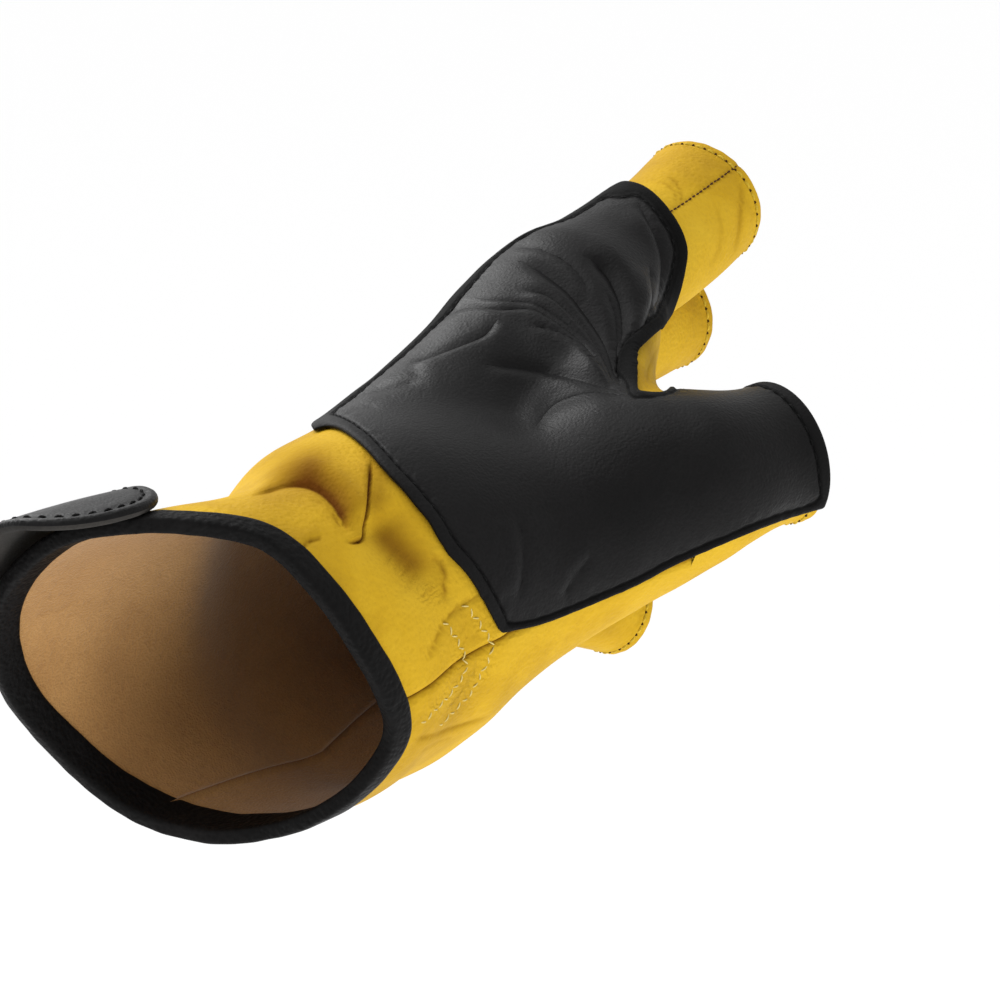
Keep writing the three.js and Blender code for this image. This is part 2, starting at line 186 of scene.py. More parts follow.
def slope(distance, points, step=0.05):
    """Change of the distance along x, y and z, from points a step to each side."""
    steps = step * np.eye(3)
    return np.stack([distance(points + s) - distance(points - s) for s in steps], 1) / (2 * step)


def settled(distance, points, rounds=2):
    """Points moved onto the surface by Newton steps, and the surface's normals there."""
    for _ in range(rounds):
        rise = slope(distance, points)
        square = np.maximum((rise ** 2).sum(1), 0.2)
        points = points - np.clip((distance(points) / square)[:, None] * rise, -1, 1)
    rise = slope(distance, points)
    return points, rise / np.linalg.norm(rise, axis=1)[:, None]


def make_sheet(stalls, low, high):
    """Sheet: a dict of faces, three corners each, with arrays that hold a value for each corner."""
    distance = glove_distance(stalls)
    points, quads = surface_net(distance, low, high)
    points, normals = settled(distance, points)
    diagonals = np.linalg.norm(points[quads[:, 0]] - points[quads[:, 2]], axis=1)
    others = np.linalg.norm(points[quads[:, 1]] - points[quads[:, 3]], axis=1)
    quads = np.where((diagonals < others)[:, None], quads, np.roll(quads, 1, 1))
    faces = np.concatenate([quads[:, [0, 1, 2]], quads[:, [0, 2, 3]]])
    return {"faces": faces, "points": points, "normals": normals}


GLOVE_LOW = (-82, -62, -62)
GLOVE_HIGH = (185, 78, 96)
plain_sheet = make_sheet({"index": True, "thumb": True, "middle": False, "ring": False, "little": False},
                         GLOVE_LOW, GLOVE_HIGH)

# Where the leather stands fuller or flatter than the bars: a bell curve round each place
SWELLS = by_name(("at", "reach", "rise"), {
    "back of the index root": ((83, 26, 48), 18, 3.0),
    "back of the wrist": ((13, 15, 26), 9, 1.0),
    "cuff by the tab": ((-6, 4, 27), 11, -1.3),
    "palm side of the index stall": ((140, 16, 49), 19, 1.9),
    "back of the index hem": ((142, 31, 70), 8, 1.2),
    "top of the thumb": ((90, -26, 36), 14, -0.9),
    "root of the thumb": ((77, -22, 37), 6, -0.7),
})


def swell(points):
    """Height of the swells: each rise times a bell curve of the distance from its place."""
    height = np.zeros(len(points))
    for bump in SWELLS.values():
        away = np.linalg.norm(points - np.array(bump["at"], float), axis=1)
        height += bump["rise"] * np.exp(-(away / bump["reach"]) ** 2)
    return height


# The folds are read in the view of the photograph, in its pixels
EYE = np.array([-325.5, -364.1, 132.8])
TOWARD = np.array([-0.709, -0.671, 0.2147]) / np.linalg.norm([-0.709, -0.671, 0.2147])
RIGHT = np.array([0.687, -0.726, 0]) / np.linalg.norm([0.687, -0.726, 0])
UP = np.cross(TOWARD, RIGHT)
FOCAL_PIXELS = 2984
PICTURE_CENTRE = 500


def in_view(points):
    """Pixel of each point in the photograph's view, and the pixels that a millimetre takes there."""
    off = points - EYE
    scale = FOCAL_PIXELS / -(off @ TOWARD)
    return PICTURE_CENTRE + np.stack([off @ RIGHT, -(off @ UP)], 1) * scale[:, None], scale


def soft_step(value):
    """0 below 0, 1 above 1, and the cubic 3t^2 - 2t^3 between."""
    t = np.clip(value, 0, 1)
    return t * t * (3 - 2 * t)


def smooth_line(line, steps=6):
    """Catmull-Rom curve through the points of a line, with straight-line end rules."""
    line = np.array(line, float)
    padded = np.concatenate([[2 * line[0] - line[1]], line, [2 * line[-1] - line[-2]]])
    t = np.arange(steps)[:, None] / steps
    spans = [0.5 * (2 * b + (c - a) * t + (2 * a - 5 * b + 4 * c - d) * t ** 2
                    + (3 * b - a - 3 * c + d) * t ** 3)
             for a, b, c, d in zip(padded, padded[1:], padded[2:], padded[3:])]
    return np.concatenate(spans + [line[-1:]])


def beside_line(places, line, margin):
    """Distance of flat places from a line, positive to the left of its run, and the share of the
    run where the nearest point is. Places further off than the margin get the margin."""
    side = np.full(len(places), float(margin))
    share = np.zeros(len(places))
    low, high = line.min(0) - margin, line.max(0) + margin
    near = np.flatnonzero(((places > low) & (places < high)).all(1))
    spots = places[near]
    best = np.full(len(near), float(margin))
    found, run = side[near], share[near]
    lengths = np.linalg.norm(np.diff(line, axis=0), axis=1)
    starts = np.concatenate([[0], np.cumsum(lengths)])
    for i, length in enumerate(lengths):
        way = (line[i + 1] - line[i]) / length
        off = spots - line[i]
        along = np.clip(off @ way, 0, length)
        apart = off - along[:, None] * way
        distance = np.linalg.norm(apart, axis=1)
        closer = distance < best
        left = way[1] * off[:, 0] - way[0] * off[:, 1]
        best = np.where(closer, distance, best)
        found = np.where(closer, np.where(left > 0, distance, -distance), found)
        run = np.where(closer, (starts[i] + along) / starts[-1], run)
    side[near], share[near] = found, run
    return side, share


# Folds of the worn leather: a groove of some width along a line, and on its left a lip that rolls
# up over a short way and then falls off slowly. Shade is the painted shade, in brown, on the lip.
FOLD_COLUMNS = ("groove", "width", "lip", "roll", "reach", "shade", "line")
WRIST_FOLDS = by_name(FOLD_COLUMNS, {
    "wrist overlap": (0.8, 0.8, 2.3, 2.2, 5, 0.9,
        [(250, 493), (266, 487), (284, 482), (304, 482), (320, 488), (333, 500), (343, 517), (350, 534)]),
    "upright crease": (0.75, 0.4, 0.75, 0.8, 3, 0.35,
        [(345, 542), (356, 541), (364, 536), (364, 524), (365, 508), (367, 492), (369, 477), (371, 463)]),
    "cuff crease": (0.45, 0.4, 0.3, 0.5, 2, 0.1, [(300, 549), (306, 543), (313, 539), (322, 537)]),
    "overlap wrinkle": (0.3, 0.35, 0.1, 0.4, 1, 0, [(342, 529), (336, 517), (327, 506), (315, 498)]),
    "crease end": (0.25, 0.35, 0.1, 0.4, 1, 0.1, [(357, 530), (352, 518), (346, 506), (341, 496)]),
    "valley by the patch": (0.6, 1.8, 0.1, 1.5, 4, 0.2,
        [(444, 602), (446, 588), (446, 574), (442, 562), (435, 552)]),
    "gathered hollow": (1.5, 3.6, 0.0, 1, 3, 0, [(374, 512), (392, 536), (412, 560), (430, 588)]),
    "corner crease": (0.35, 0.45, 0.15, 0.7, 2, 0.15,
        [(472, 596), (463, 603), (452, 613), (443, 625), (435, 641), (426, 662)]),
    "corner wrinkle": (0.3, 0.35, 0.1, 0.6, 2, 0.1, [(486, 592), (474, 599), (463, 607), (454, 616)]),
    "gather wrinkle": (0.3, 0.4, 0.1, 0.5, 2, 0.1, [(444, 583), (434, 588), (424, 595), (416, 600)]),
    "palm crease": (0.5, 0.6, 0.3, 1.2, 3, 0.05,
        [(490, 716), (470, 724), (450, 730), (433, 736), (414, 740)]),
    "low crease": (0.3, 0.5, 0.2, 0.6, 2, 0, [(454, 738), (438, 743), (420, 752)]),
    "index seam": (0.3, 0.4, 0.05, 0.4, 1, 0,
        [(660, 221), (671, 212), (690, 199), (710, 186), (735, 168), (745, 160)]),
    "index wrinkle": (0.25, 0.5, 0.15, 0.5, 1.5, 0, [(679, 206), (680, 196), (676, 186), (668, 178)]),
    "index arc": (0.2, 0.4, 0.1, 0.5, 1.5, 0, [(673, 208), (674, 199), (670, 190), (661, 183)]),
    "index hem fold": (0.25, 1.4, 0.1, 1.4, 3, 0, [(738, 182), (736, 205), (733, 229), (725, 254)]),
    "index middle fold": (0.15, 1.2, 0.05, 1.2, 3, 0, [(712, 205), (716, 226), (713, 248), (703, 268)]),
    "strip below the patch": (0.6, 0.7, 0.4, 1.0, 2, 0.1,
        [(648, 384), (650, 368), (656, 350), (666, 331), (676, 312)]),
})
WEB_FOLDS = by_name(FOLD_COLUMNS, {
    "web low fold": (0.87, 0.8, 0.85, 1.0, 3, 0,
        [(499, 329), (488, 341), (475, 347), (456, 354), (436, 361), (412, 369)]),
    "web long fold": (1.2, 0.7, 0.95, 1.0, 3, 0,
        [(610, 391), (596, 371), (579, 352), (552, 331), (535, 321), (520, 318), (499, 319), (475, 316),
         (456, 323), (440, 333), (424, 343)]),
    "web long wrinkle": (0.51, 0.5, 0.47, 0.7, 2, 0,
        [(612, 389), (596, 362), (574, 340), (550, 322), (528, 312), (500, 310), (475, 309)]),
    "web narrow fold": (1, 0.8, 0.66, 1.0, 2.5, 0,
        [(613, 389), (600, 362), (579, 334), (558, 313), (542, 304), (520, 300)]),
    "web upper fold": (1.7, 1.9, 0.95, 2.0, 4, 0,
        [(617, 391), (611, 371), (602, 344), (588, 322), (566, 297), (545, 283), (522, 276)]),
    "web steep fold": (1.6, 1.6, 0.76, 1.6, 3, 0,
        [(580, 262), (598, 268), (610, 280), (619, 301), (623, 323), (624, 344), (623, 371), (621, 390)]),
    "web steep wrinkle": (0.51, 0.6, 0.38, 0.8, 2, 0,
        [(600, 292), (611, 312), (616, 338), (619, 362), (620, 388)]),
    "web hem fold": (0.87, 1.0, 0.76, 1.2, 2.5, 0,
        [(643, 318), (652, 298), (655, 280), (656, 259), (650, 237), (642, 222), (634, 208)]),
    "web hem wrinkle": (0.51, 0.7, 0.47, 0.8, 2, 0, [(632, 340), (640, 318), (643, 296), (641, 270)]),
    "web fine wrinkle": (0.43, 0.5, 0.38, 0.6, 1.5, 0,
        [(608, 388), (590, 368), (570, 352), (548, 340), (524, 334)]),
    "thumb fold": (0.72, 1.2, 0.57, 1.6, 4, 0,
        [(624, 393), (600, 391), (575, 387), (545, 379), (515, 373), (480, 370)]),
    "thumb crease": (0.58, 1.8, 0.57, 2.0, 5, 0,
        [(532, 436), (545, 418), (560, 406), (590, 398), (625, 396)]),
    "back wrinkle": (0.43, 0.8, 0.38, 1.2, 3, 0, [(590, 300), (570, 275), (545, 262), (520, 262)]),
    "corner of the patch": (0.43, 1.0, 0.38, 1.2, 3, 0, [(512, 600), (518, 575), (519, 545), (514, 515)]),
    "seam pucker": (0.36, 0.9, 0.38, 1.0, 3, 0, [(556, 598), (570, 574), (590, 552)]),
    "patch wrist wrinkle": (0.51, 0.8, 0.38, 1.0, 2, 0, [(345, 409), (365, 400), (392, 392), (420, 386)]),
    "patch wrist fold": (0.43, 0.8, 0.38, 1.0, 2, 0, [(338, 419), (358, 413), (380, 410)]),
})
# Painted shade in soft hollows: the share of the deep tone along each line, over a width like a bell curve
HOLLOWS = by_name(("shade", "width", "line"), {
    "gathered hollow": (0.75, 2.6, [(378, 516), (394, 538), (412, 556), (430, 578)]),
    "over the overlap": (0.4, 4.5, [(240, 482), (262, 474), (285, 467), (310, 469), (330, 485)]),
    "beside the crease": (0.35, 2.0, [(361, 452), (378, 470), (376, 500), (380, 520)]),
    "by the patch": (0.35, 1.2, [(378, 466), (400, 486), (425, 512), (441, 540)]),
    "elastic": (0.12, 3.0, [(474, 608), (466, 630), (472, 650)]),
})
# Rows where elastic draws the leather into short puckers, with finer wrinkles over them
GATHERS = by_name(("rise", "pitch", "reach", "wrinkles", "line"), {
    "hollow gathers": (0.12, 1.9, 2.4, 0.95, [(386, 548), (402, 562), (416, 576), (426, 592), (436, 608)]),
    "upper elastic": (0.05, 2.2, 1.6, 1.4,
        [(470, 606), (480, 620), (489, 638), (489, 656), (480, 678), (464, 702), (442, 724)]),
    "lower elastic": (0.05, 2.0, 1.6, 1.4,
        [(448, 626), (456, 638), (464, 654), (464, 670), (454, 690), (440, 704), (422, 724)]),
})
FOLD_LEVELS = (-0.6, -0.15, 0.0, 0.15, 0.5, 1.1)
SCORED_DEPTH = 0.9
SCORED_PIXELS = 30
SCORED_REACH = 6
FOLD_MARGIN = 110
CREASE_WIDTH = 0.3
DEEPEST_GROOVE = 1.1
SHADE_REACH = 2.6
EDGE_ON = 0.5


def facing_view(points, normals):
    """1 where the surface faces the view, falling to 0 where it turns away."""
    toward = (EYE - points) / np.linalg.norm(EYE - points, axis=1)[:, None]
    return soft_step((normals * toward).sum(1) / EDGE_ON)


def crossed_edges(sheet, mark, level, within=np.inf):
    """Which faces the line mark = level crosses, their corners with the lone one first, and their
    crossed edges: the two corners of each, the share of the way where the line crosses it, and the
    number of the edge on either side of each lone corner."""
    faces = sheet["faces"]
    value = sheet[mark] - level
    value = np.where(np.abs(value) < 1e-5, 1e-5, value)
    over = value[faces] > 0
    crossed = over.any(1) & ~over.all(1) & (np.abs(value[faces]) < within).all(1)
    part, over = faces[crossed], over[crossed]
    lone = np.argmax(over == (over.sum(1) == 1)[:, None], 1)
    order = (lone[:, None] + np.arange(3)) % 3
    a, b, c = np.take_along_axis(part, order, 1).T
    edges = np.sort(np.concatenate([np.stack([a, b], 1), np.stack([a, c], 1)]), 1)
    edges, place = np.unique(edges, axis=0, return_inverse=True)
    first, last = edges.T
    share = value[first] / (value[first] - value[last])
    return crossed, (a, b, c), edges, share, place.reshape(2, -1)


def scored(sheet, mark, level=0.0, within=np.inf):
    """Splits each face that the line mark = level crosses, so that the line runs along edges. Faces
    with a corner further than a limit from the line are left whole."""
    crossed, (a, b, c), edges, share, place = crossed_edges(sheet, mark, level, within)
    first, last = edges.T
    ab, ac = place + len(sheet[mark])
    whole = sheet["faces"][~crossed]
    split = [np.stack(corners, 1) for corners in ((a, ab, ac), (ab, b, c), (ab, c, ac))]
    result = {"faces": np.concatenate([whole, *split])}
    for key, array in sheet.items():
        if key != "faces":
            weight = share if array.ndim == 1 else share[:, None]
            result[key] = np.concatenate([array, array[first] + weight * (array[last] - array[first])])
    return result


def scored_along(sheet, folds):
    """The sheet with lines of edges beside each deep fold, so that its steep side is clean."""
    for fold in folds.values():
        if fold["groove"] + fold["lip"] < SCORED_DEPTH:
            continue
        places, scale = in_view(sheet["points"])
        side, share = beside_line(places, smooth_line(fold["line"]), SCORED_PIXELS)
        outside = (facing_view(sheet["points"], sheet["normals"]) < 0.05) | (share <= 0) | (share >= 1)
        outside |= np.abs(side) > SCORED_PIXELS - 1
        sheet = {**sheet, "side": np.where(outside, 99.0, side / scale)}
        for level in FOLD_LEVELS:
            sheet = scored(sheet, "side", level, within=SCORED_REACH)
        del sheet["side"]
    return sheet


def fold_relief(points, normals, folds):
    """Height of the folds over the plain surface, and the share of painted shade at each point: a dark
    line along the crease and brown shade on the lip. Across a line the groove is a bell curve and the
    lip a quarter circle with a slow fall behind it, both fading at the line's ends and where the
    surface turns away from the view."""
    places, scale = in_view(points)
    facing = facing_view(points, normals)
    height = np.zeros(len(points))
    crease = np.zeros(len(points))
    for fold in folds.values():
        side, share = beside_line(places, smooth_line(fold["line"]), FOLD_MARGIN)
        side = side / scale
        fade = facing * soft_step(share / 0.2 + 0.1) * soft_step((1 - share) / 0.2 + 0.1)
        fade = np.where(np.abs(side) * scale > FOLD_MARGIN - 1, 0, fade)
        groove = np.exp(-(side / fold["width"]) ** 2)
        rolled = np.clip(side / fold["roll"], 0, 1)
        lip = np.sqrt(1 - (1 - rolled) ** 2) * np.exp(-np.maximum(side - fold["roll"], 0) / fold["reach"])
        height += fade * (fold["lip"] * lip - fold["groove"] * groove)
        deep = min((fold["groove"] + fold["lip"]) / DEEPEST_GROOVE, 1)
        dark_width = np.where(side > 0, 0.3 * fold["roll"], CREASE_WIDTH)
        sharp = deep * np.exp(-(side / dark_width) ** 2) * (fold["lip"] > 0)
        shade = fold["shade"] * np.where(side > 0, np.exp(-side / SHADE_REACH), np.exp(side / CREASE_WIDTH))
        crease = np.maximum(crease, fade * np.maximum(sharp, shade))
    return height, crease


def hollow_shade(points, normals):
    """Share of the deep tone painted as shade in the soft hollows."""
    places, scale = in_view(points)
    facing = facing_view(points, normals)
    shade = np.zeros(len(points))
    for hollow in HOLLOWS.values():
        side, share = beside_line(places, smooth_line(hollow["line"]), FOLD_MARGIN)
        ends = soft_step(share / 0.3 + 0.1) * soft_step((1 - share) / 0.3 + 0.1)
        shade += facing * ends * hollow["shade"] * np.exp(-(side / scale / hollow["width"]) ** 2)
    return shade


def gather_relief(points, normals, gathers):
    """Waves along each line, that die away to both sides like a bell curve. Returns their height,
    the turns of the finer wrinkles that the material draws, and how strong those are."""
    places, scale = in_view(points)
    facing = facing_view(points, normals)
    height, wrinkle_turns, wrinkle_rise = np.zeros((3, len(points)))
    for gather in gathers.values():
        line = smooth_line(gather["line"])
        length = np.linalg.norm(np.diff(line, axis=0), axis=1).sum()
        side, share = beside_line(places, line, 90)
        side = side / scale
        run = share * length / scale
        turns = run / gather["pitch"]
        wave = np.sin(2 * math.pi * turns + 0.5 * side) + 0.5 * np.sin(2 * math.pi * 1.7 * turns + 1)
        fade = facing * soft_step(share / 0.15) * soft_step((1 - share) / 0.15)
        fade = fade * np.exp(-(side / gather["reach"]) ** 2)
        height += fade * gather["rise"] * wave
        turns = (run + 0.15 * side) / gather["wrinkles"]
        wrinkle_turns = np.where(fade > wrinkle_rise, turns, wrinkle_turns)
        wrinkle_rise = np.maximum(wrinkle_rise, fade)
    return height, wrinkle_turns, wrinkle_rise


def wander(points, length, seed):
    """Slow random rise and fall: the mean of eight sine waves, each its own way and phase."""
    draw = np.random.default_rng(seed)
    ways = draw.normal(size=(8, 3))
    ways /= np.linalg.norm(ways, axis=1)[:, None]
    pace = 2 * math.pi / length * draw.uniform(0.6, 1.4, 8)
    phase = draw.uniform(0, 2 * math.pi, 8)
    return np.sin(points @ (ways * pace[:, None]).T + phase).mean(1)


def corner_normals(points, faces):
    """Mean of the normals of the faces round each corner, weighted by their area."""
    a, b, c = points[faces[:, 0]], points[faces[:, 1]], points[faces[:, 2]]
    flat = np.cross(b - a, c - a)
    flat = np.repeat(flat, 3, axis=0)
    total = np.stack([np.bincount(faces.ravel(), flat[:, i], len(points)) for i in range(3)], 1)
    return total / np.maximum(np.linalg.norm(total, axis=1), 1e-9)[:, None]


def pressed(sheet, smooth, folded, crease):
    """The sheet with its points moved out by its smooth and folded heights, and new normals. The under
    points follow the smooth height and the grooves only, so that an inner face never crosses the outer."""
    points = sheet["points"] + sheet["normals"] * (smooth + folded)[:, None]
    under = sheet["points"] + sheet["normals"] * (smooth + np.minimum(folded, 0))[:, None]
    return {**sheet, "points": points, "normals": corner_normals(points, sheet["faces"]), "under": under,
            "plain_points": sheet["points"], "plain_normals": sheet["normals"], "crease": crease}


def worn(sheet, cut_folds):
    """The plain sheet pressed into its worn form: the sum of the swells, slow waves, folds and
    gathers. Only the folds that its piece shows are cut in as lines of edges."""
    sheet = scored_along(sheet, cut_folds)
    points, normals = sheet["points"], sheet["normals"]
    relief, crease = fold_relief(points, normals, {**WRIST_FOLDS, **WEB_FOLDS})
    gathered, sheet["wrinkle_turns"], sheet["wrinkle_rise"] = gather_relief(points, normals, GATHERS)
    waves = 0.3 * wander(points, 26, 3) + 0.12 * wander(points, 11, 4)
    # Painted shade: the fold lines, the lips and the hollows darken the crease mark
    crease = np.clip(crease + hollow_shade(points, normals), 0, 1)
    return pressed(sheet, swell(points) + waves, relief + gathered, crease)


glove_sheet = worn(plain_sheet, WRIST_FOLDS)

# Where the pieces end: the cuff edge, the side seams and the roots of the stalls
THUMB_SIDE = np.array([0, -0.5, 0.866])
BACK_SIDE = np.array([0, 0.866, 0.5])
CENTRE_LINE = np.array([(-80, -2, -2), (30, 0, 0), (60, 8, 8), (90, 22, 14), (125, 30, 20)], float)
SIDE_SEAMS = np.array([(-80, -68), (3, -68), (12, -65), (20, -61), (31, -57), (56, -62), (125, -60)], float)
LITTLE_SEAM = -180
CUFF_EDGE = [(-175, -12), (-160, -8), (-145, -4), (-125, -2), (-100, 1), (-80, 3), (-62, -1), (-45, -6),
             (-25, -11), (-5, -16), (12, -26), (32, -35), (65, -39), (100, -38), (130, -32), (158, -21)]
CUFF_CENTRE_X = -20
WRIST_RADIUS = 30
BINDING_WIDTH = 4.5
WEB_PLANE = {"point": (70, -8, 20), "normal": (-0.1, -0.99, 0)}
FINGER_SIDE_Y = -6


def round_wrist(points, centre_x=None):
    """Angle round the centre line, 0 at the thumb side and 90 at the back, and distance from it."""
    x = points[:, 0] if centre_x is None else np.full(len(points), float(centre_x))
    centre = [np.interp(x, CENTRE_LINE[:, 0], CENTRE_LINE[:, i]) for i in (1, 2)]
    off = points - np.stack([points[:, 0], *centre], 1)
    back, thumb = off @ BACK_SIDE, off @ THUMB_SIDE
    return np.degrees(np.arctan2(back, thumb)), np.hypot(back, thumb)


def past_cuff(points):
    """Distance on the leather from the cuff edge, positive towards the fingers."""
    angle, _ = round_wrist(points, CUFF_CENTRE_X)
    turns = [(a + 360 * turn, x) for turn in (-1, 0, 1) for a, x in CUFF_EDGE]
    edge = smooth_line(turns, 8)
    run = np.gradient(edge[:, 1], edge[:, 0]) / (math.radians(1) * WRIST_RADIUS)
    at = np.interp(angle, edge[:, 0], edge[:, 1])
    return (points[:, 0] - at) / np.sqrt(1 + np.interp(angle, edge[:, 0], run) ** 2)


def on_palm(points):
    """Distance on the leather from the nearer side seam, positive on the palm side."""
    angle, radius = round_wrist(points)
    seam = np.interp(points[:, 0], SIDE_SEAMS[:, 0], SIDE_SEAMS[:, 1])
    middle, half = (seam + LITTLE_SEAM) / 2, (seam - LITTLE_SEAM) / 2
    turned = (angle - middle + 180) % 360 - 180
    return np.radians(half - np.abs(turned)) * radius


def past_plane(points, point, normal):
    """Distance in front of a plane."""
    normal = np.array(normal, float)
    return (points - np.array(point, float)) @ (normal / np.linalg.norm(normal))


def along_stall(points, name):
    """Distance past the start point of a stall, along its axis."""
    start, direction, _ = stall_axis(name)
    return (points - start) @ direction


def in_stall(points, name):
    """Distance into the space of one stall: past its root, and on its side of the planes between it
    and its neighbours, which run along both stalls."""
    inside = along_stall(points, name) - STALLS[name]["root"]
    if name == "thumb":
        return np.minimum(inside, past_plane(points, WEB_PLANE["point"], WEB_PLANE["normal"]))
    roots = {}
    ways = {}
    for finger in FINGER_ROW:
        start, ways[finger], _ = stall_axis(finger)
        roots[finger] = start + STALLS[finger]["root"] * ways[finger]
    place = FINGER_ROW.index(name)
    for other in FINGER_ROW[max(place - 1, 0):place + 2]:
        if other != name:
            along = (ways[name] + ways[other]) / np.linalg.norm(ways[name] + ways[other])
            apart = roots[name] - roots[other]
            between = past_plane(points, (roots[name] + roots[other]) / 2, apart - (apart @ along) * along)
            inside = np.minimum(inside, between)
    return np.minimum(inside, points[:, 1] - FINGER_SIDE_Y)


def before_rim(points, name):
    """Distance back from the rim of a stall, along its axis. A rim can lean."""
    start, _, _ = stall_axis(name)
    lean = (points - start) @ np.array(RIM_LEAN.get(name, (0, 0, 0)), float)
    return STALLS[name]["rim"] + lean - along_stall(points, name)


glove_sheet["cuff"] = past_cuff(glove_sheet["plain_points"])
glove_sheet["palm"] = on_palm(glove_sheet["plain_points"])
for stall in STALLS:
    glove_sheet[stall] = in_stall(glove_sheet["plain_points"], stall)
glove_sheet["stalls"] = np.max([glove_sheet[stall] for stall in STALLS], 0)


def part_of(sheet, wanted):
    """The sheet with the wanted faces alone, and the corners that they use."""
    used, faces = np.unique(sheet["faces"][wanted], return_inverse=True)
    result = {key: array[used] for key, array in sheet.items() if key != "faces"}
    return {**result, "faces": faces.reshape(-1, 3)}


def kept(sheet, mark):
    """The part of a sheet where a mark is positive, cut clean along its zero line."""
    sheet = scored(sheet, mark)
    return part_of(sheet, sheet[mark][sheet["faces"]].sum(1) > 0)


def largest(sheet):
    """The largest connected part of a sheet: each corner takes the lowest number that reaches it."""
    faces = sheet["faces"]
    group = np.arange(len(sheet["points"]))
    while True:
        low = group[faces].min(1)
        reached = group.copy()
        np.minimum.at(reached, faces.ravel(), np.repeat(low, 3))
        reached = reached[reached]
        if (reached == group).all():
            break
        group = reached
    main = np.bincount(group[faces[:, 0]]).argmax()
    return part_of(sheet, group[faces[:, 0]] == main)


ROUND_STEPS = (0.08, 0.3, 0.65, 1.0)


def rounded(sheet, mark, radius):
    """Scores the sheet beside an edge, so that the edge can be rounded there."""
    for step in ROUND_STEPS:
        sheet = scored(sheet, mark, step * radius)
    return sheet


HALF_WALL = 0.48


def edge_drop(distance, radius):
    """Share of the thickness that a rounded edge has lost on either side: nearly half of it at the
    edge, and less along a quarter circle over the radius."""
    return HALF_WALL * (1 - np.sqrt(1 - np.clip(1 - distance / radius, 0, 1) ** 2))


def above(sheet, amount):
    """Points of a sheet moved out by an amount."""
    return sheet["points"] + sheet["normals"] * amount[:, None]


def below(sheet, amount):
    """Under points of a sheet moved by an amount along the plain normals."""
    return sheet["under"] + sheet["plain_normals"] * amount[:, None]


def wall(sheet, outside, inside):
    """Closed wall of a sheet: its outer face, its inner face turned round, and strips between their
    edges. Returns points, faces, strips and normals."""
    faces, count = sheet["faces"], len(sheet["points"])
    ways = np.concatenate([faces[:, [0, 1]], faces[:, [1, 2]], faces[:, [2, 0]]])
    codes = ways[:, 0] * count + ways[:, 1]
    back = ways[:, 1] * count + ways[:, 0]
    a, b = ways[~np.isin(back, codes)].T
    strips = np.concatenate([np.stack([b, a, a + count], 1), np.stack([b, a + count, b + count], 1)])
    normals = np.concatenate([corner_normals(outside, faces), -corner_normals(inside, faces)])
    points = np.concatenate([outside, inside])
    return points, faces, strips, normals


def add_mesh(name, points, faces, normals=None, second=None, marks=None):
    """Mesh object from corner points in millimetres and faces of equal length. Second says which
    faces take the second material, and marks are named values for the corners."""
    mesh = bpy.data.meshes.new(name)
    mesh.vertices.add(len(points))
    mesh.vertices.foreach_set("co", (points * MM).astype(np.float32).ravel())
    mesh.loops.add(faces.size)
    mesh.loops.foreach_set("vertex_index", faces.astype(np.int32).ravel())
    mesh.polygons.add(len(faces))
    mesh.polygons.foreach_set("loop_start", np.arange(0, faces.size, faces.shape[1], dtype=np.int32))
    if second is not None:
        mesh.polygons.foreach_set("material_index", second.astype(np.int32))
    mesh.update(calc_edges=True)
    mesh.shade_smooth()
    for key, array in (marks or {}).items():
        mesh.attributes.new(key, "FLOAT", "POINT").data.foreach_set("value", array.astype(np.float32))
    if normals is not None:
        mesh.normals_split_custom_set_from_vertices(normals.astype(np.float32))
    piece = bpy.data.objects.new(name, mesh)
    bpy.context.scene.collection.objects.link(piece)
    return piece


def leather_piece(name, sheet, outside, inside):
    """Wall of a sheet as a mesh, with the flesh side as its second material."""
    points, faces, strips, normals = wall(sheet, outside, inside)
    count = len(sheet["points"])
    everything = np.concatenate([faces, faces[:, ::-1] + count, strips])
    second = np.concatenate([np.zeros(len(faces)), np.ones(len(faces)), np.zeros(len(strips))])
    marks = {key: np.tile(sheet.get(key, np.zeros(count)), 2)
             for key in ("crease", "wrinkle_turns", "wrinkle_rise")}
    return add_mesh(name, points, everything, normals, second, marks)


def node_group(name, inputs, outputs):
    """Empty shader group with named number or colour inputs and outputs."""
    group = bpy.data.node_groups.new(name, "ShaderNodeTree")
    for socket, kind, value in inputs:
        made = group.interface.new_socket(socket, in_out="INPUT", socket_type="NodeSocket" + kind)
        made.default_value = value
    for socket, kind in outputs:
        group.interface.new_socket(socket, in_out="OUTPUT", socket_type="NodeSocket" + kind)
    return group, group.nodes.new("NodeGroupInput").outputs, group.nodes.new("NodeGroupOutput").inputs


def add_node(tree, kind, links=(), **values):
    """New node with its properties set, and a link or a value for each named input."""
    node = tree.nodes.new(kind)
    for key, value in values.items():
        setattr(node, key, value)
    for socket, source in links:
        if isinstance(source, bpy.types.NodeSocket):
            tree.links.new(source, node.inputs[socket])
        else:
            node.inputs[socket].default_value = source
    return node


def math_node(tree, operation, a, b=0.0, clamp=False):
    """One step of arithmetic on two sockets or numbers."""
    node = add_node(tree, "ShaderNodeMath", [(0, a), (1, b)], operation=operation, use_clamp=clamp)
    return node.outputs[0]


def mix_colours(tree, factor, a, b):
    """Blend of two colours by a factor."""
    return add_node(tree, "ShaderNodeMix", [(0, factor), (6, a), (7, b)], data_type="RGBA").outputs[2]


def noise(tree, place, scale, detail=3.0, roughness=0.55):
    """Cloudy noise at a number of clouds per metre."""
    return add_node(tree, "ShaderNodeTexNoise", [
        ("Vector", place), ("Scale", scale), ("Detail", detail), ("Roughness", roughness)]).outputs[0]


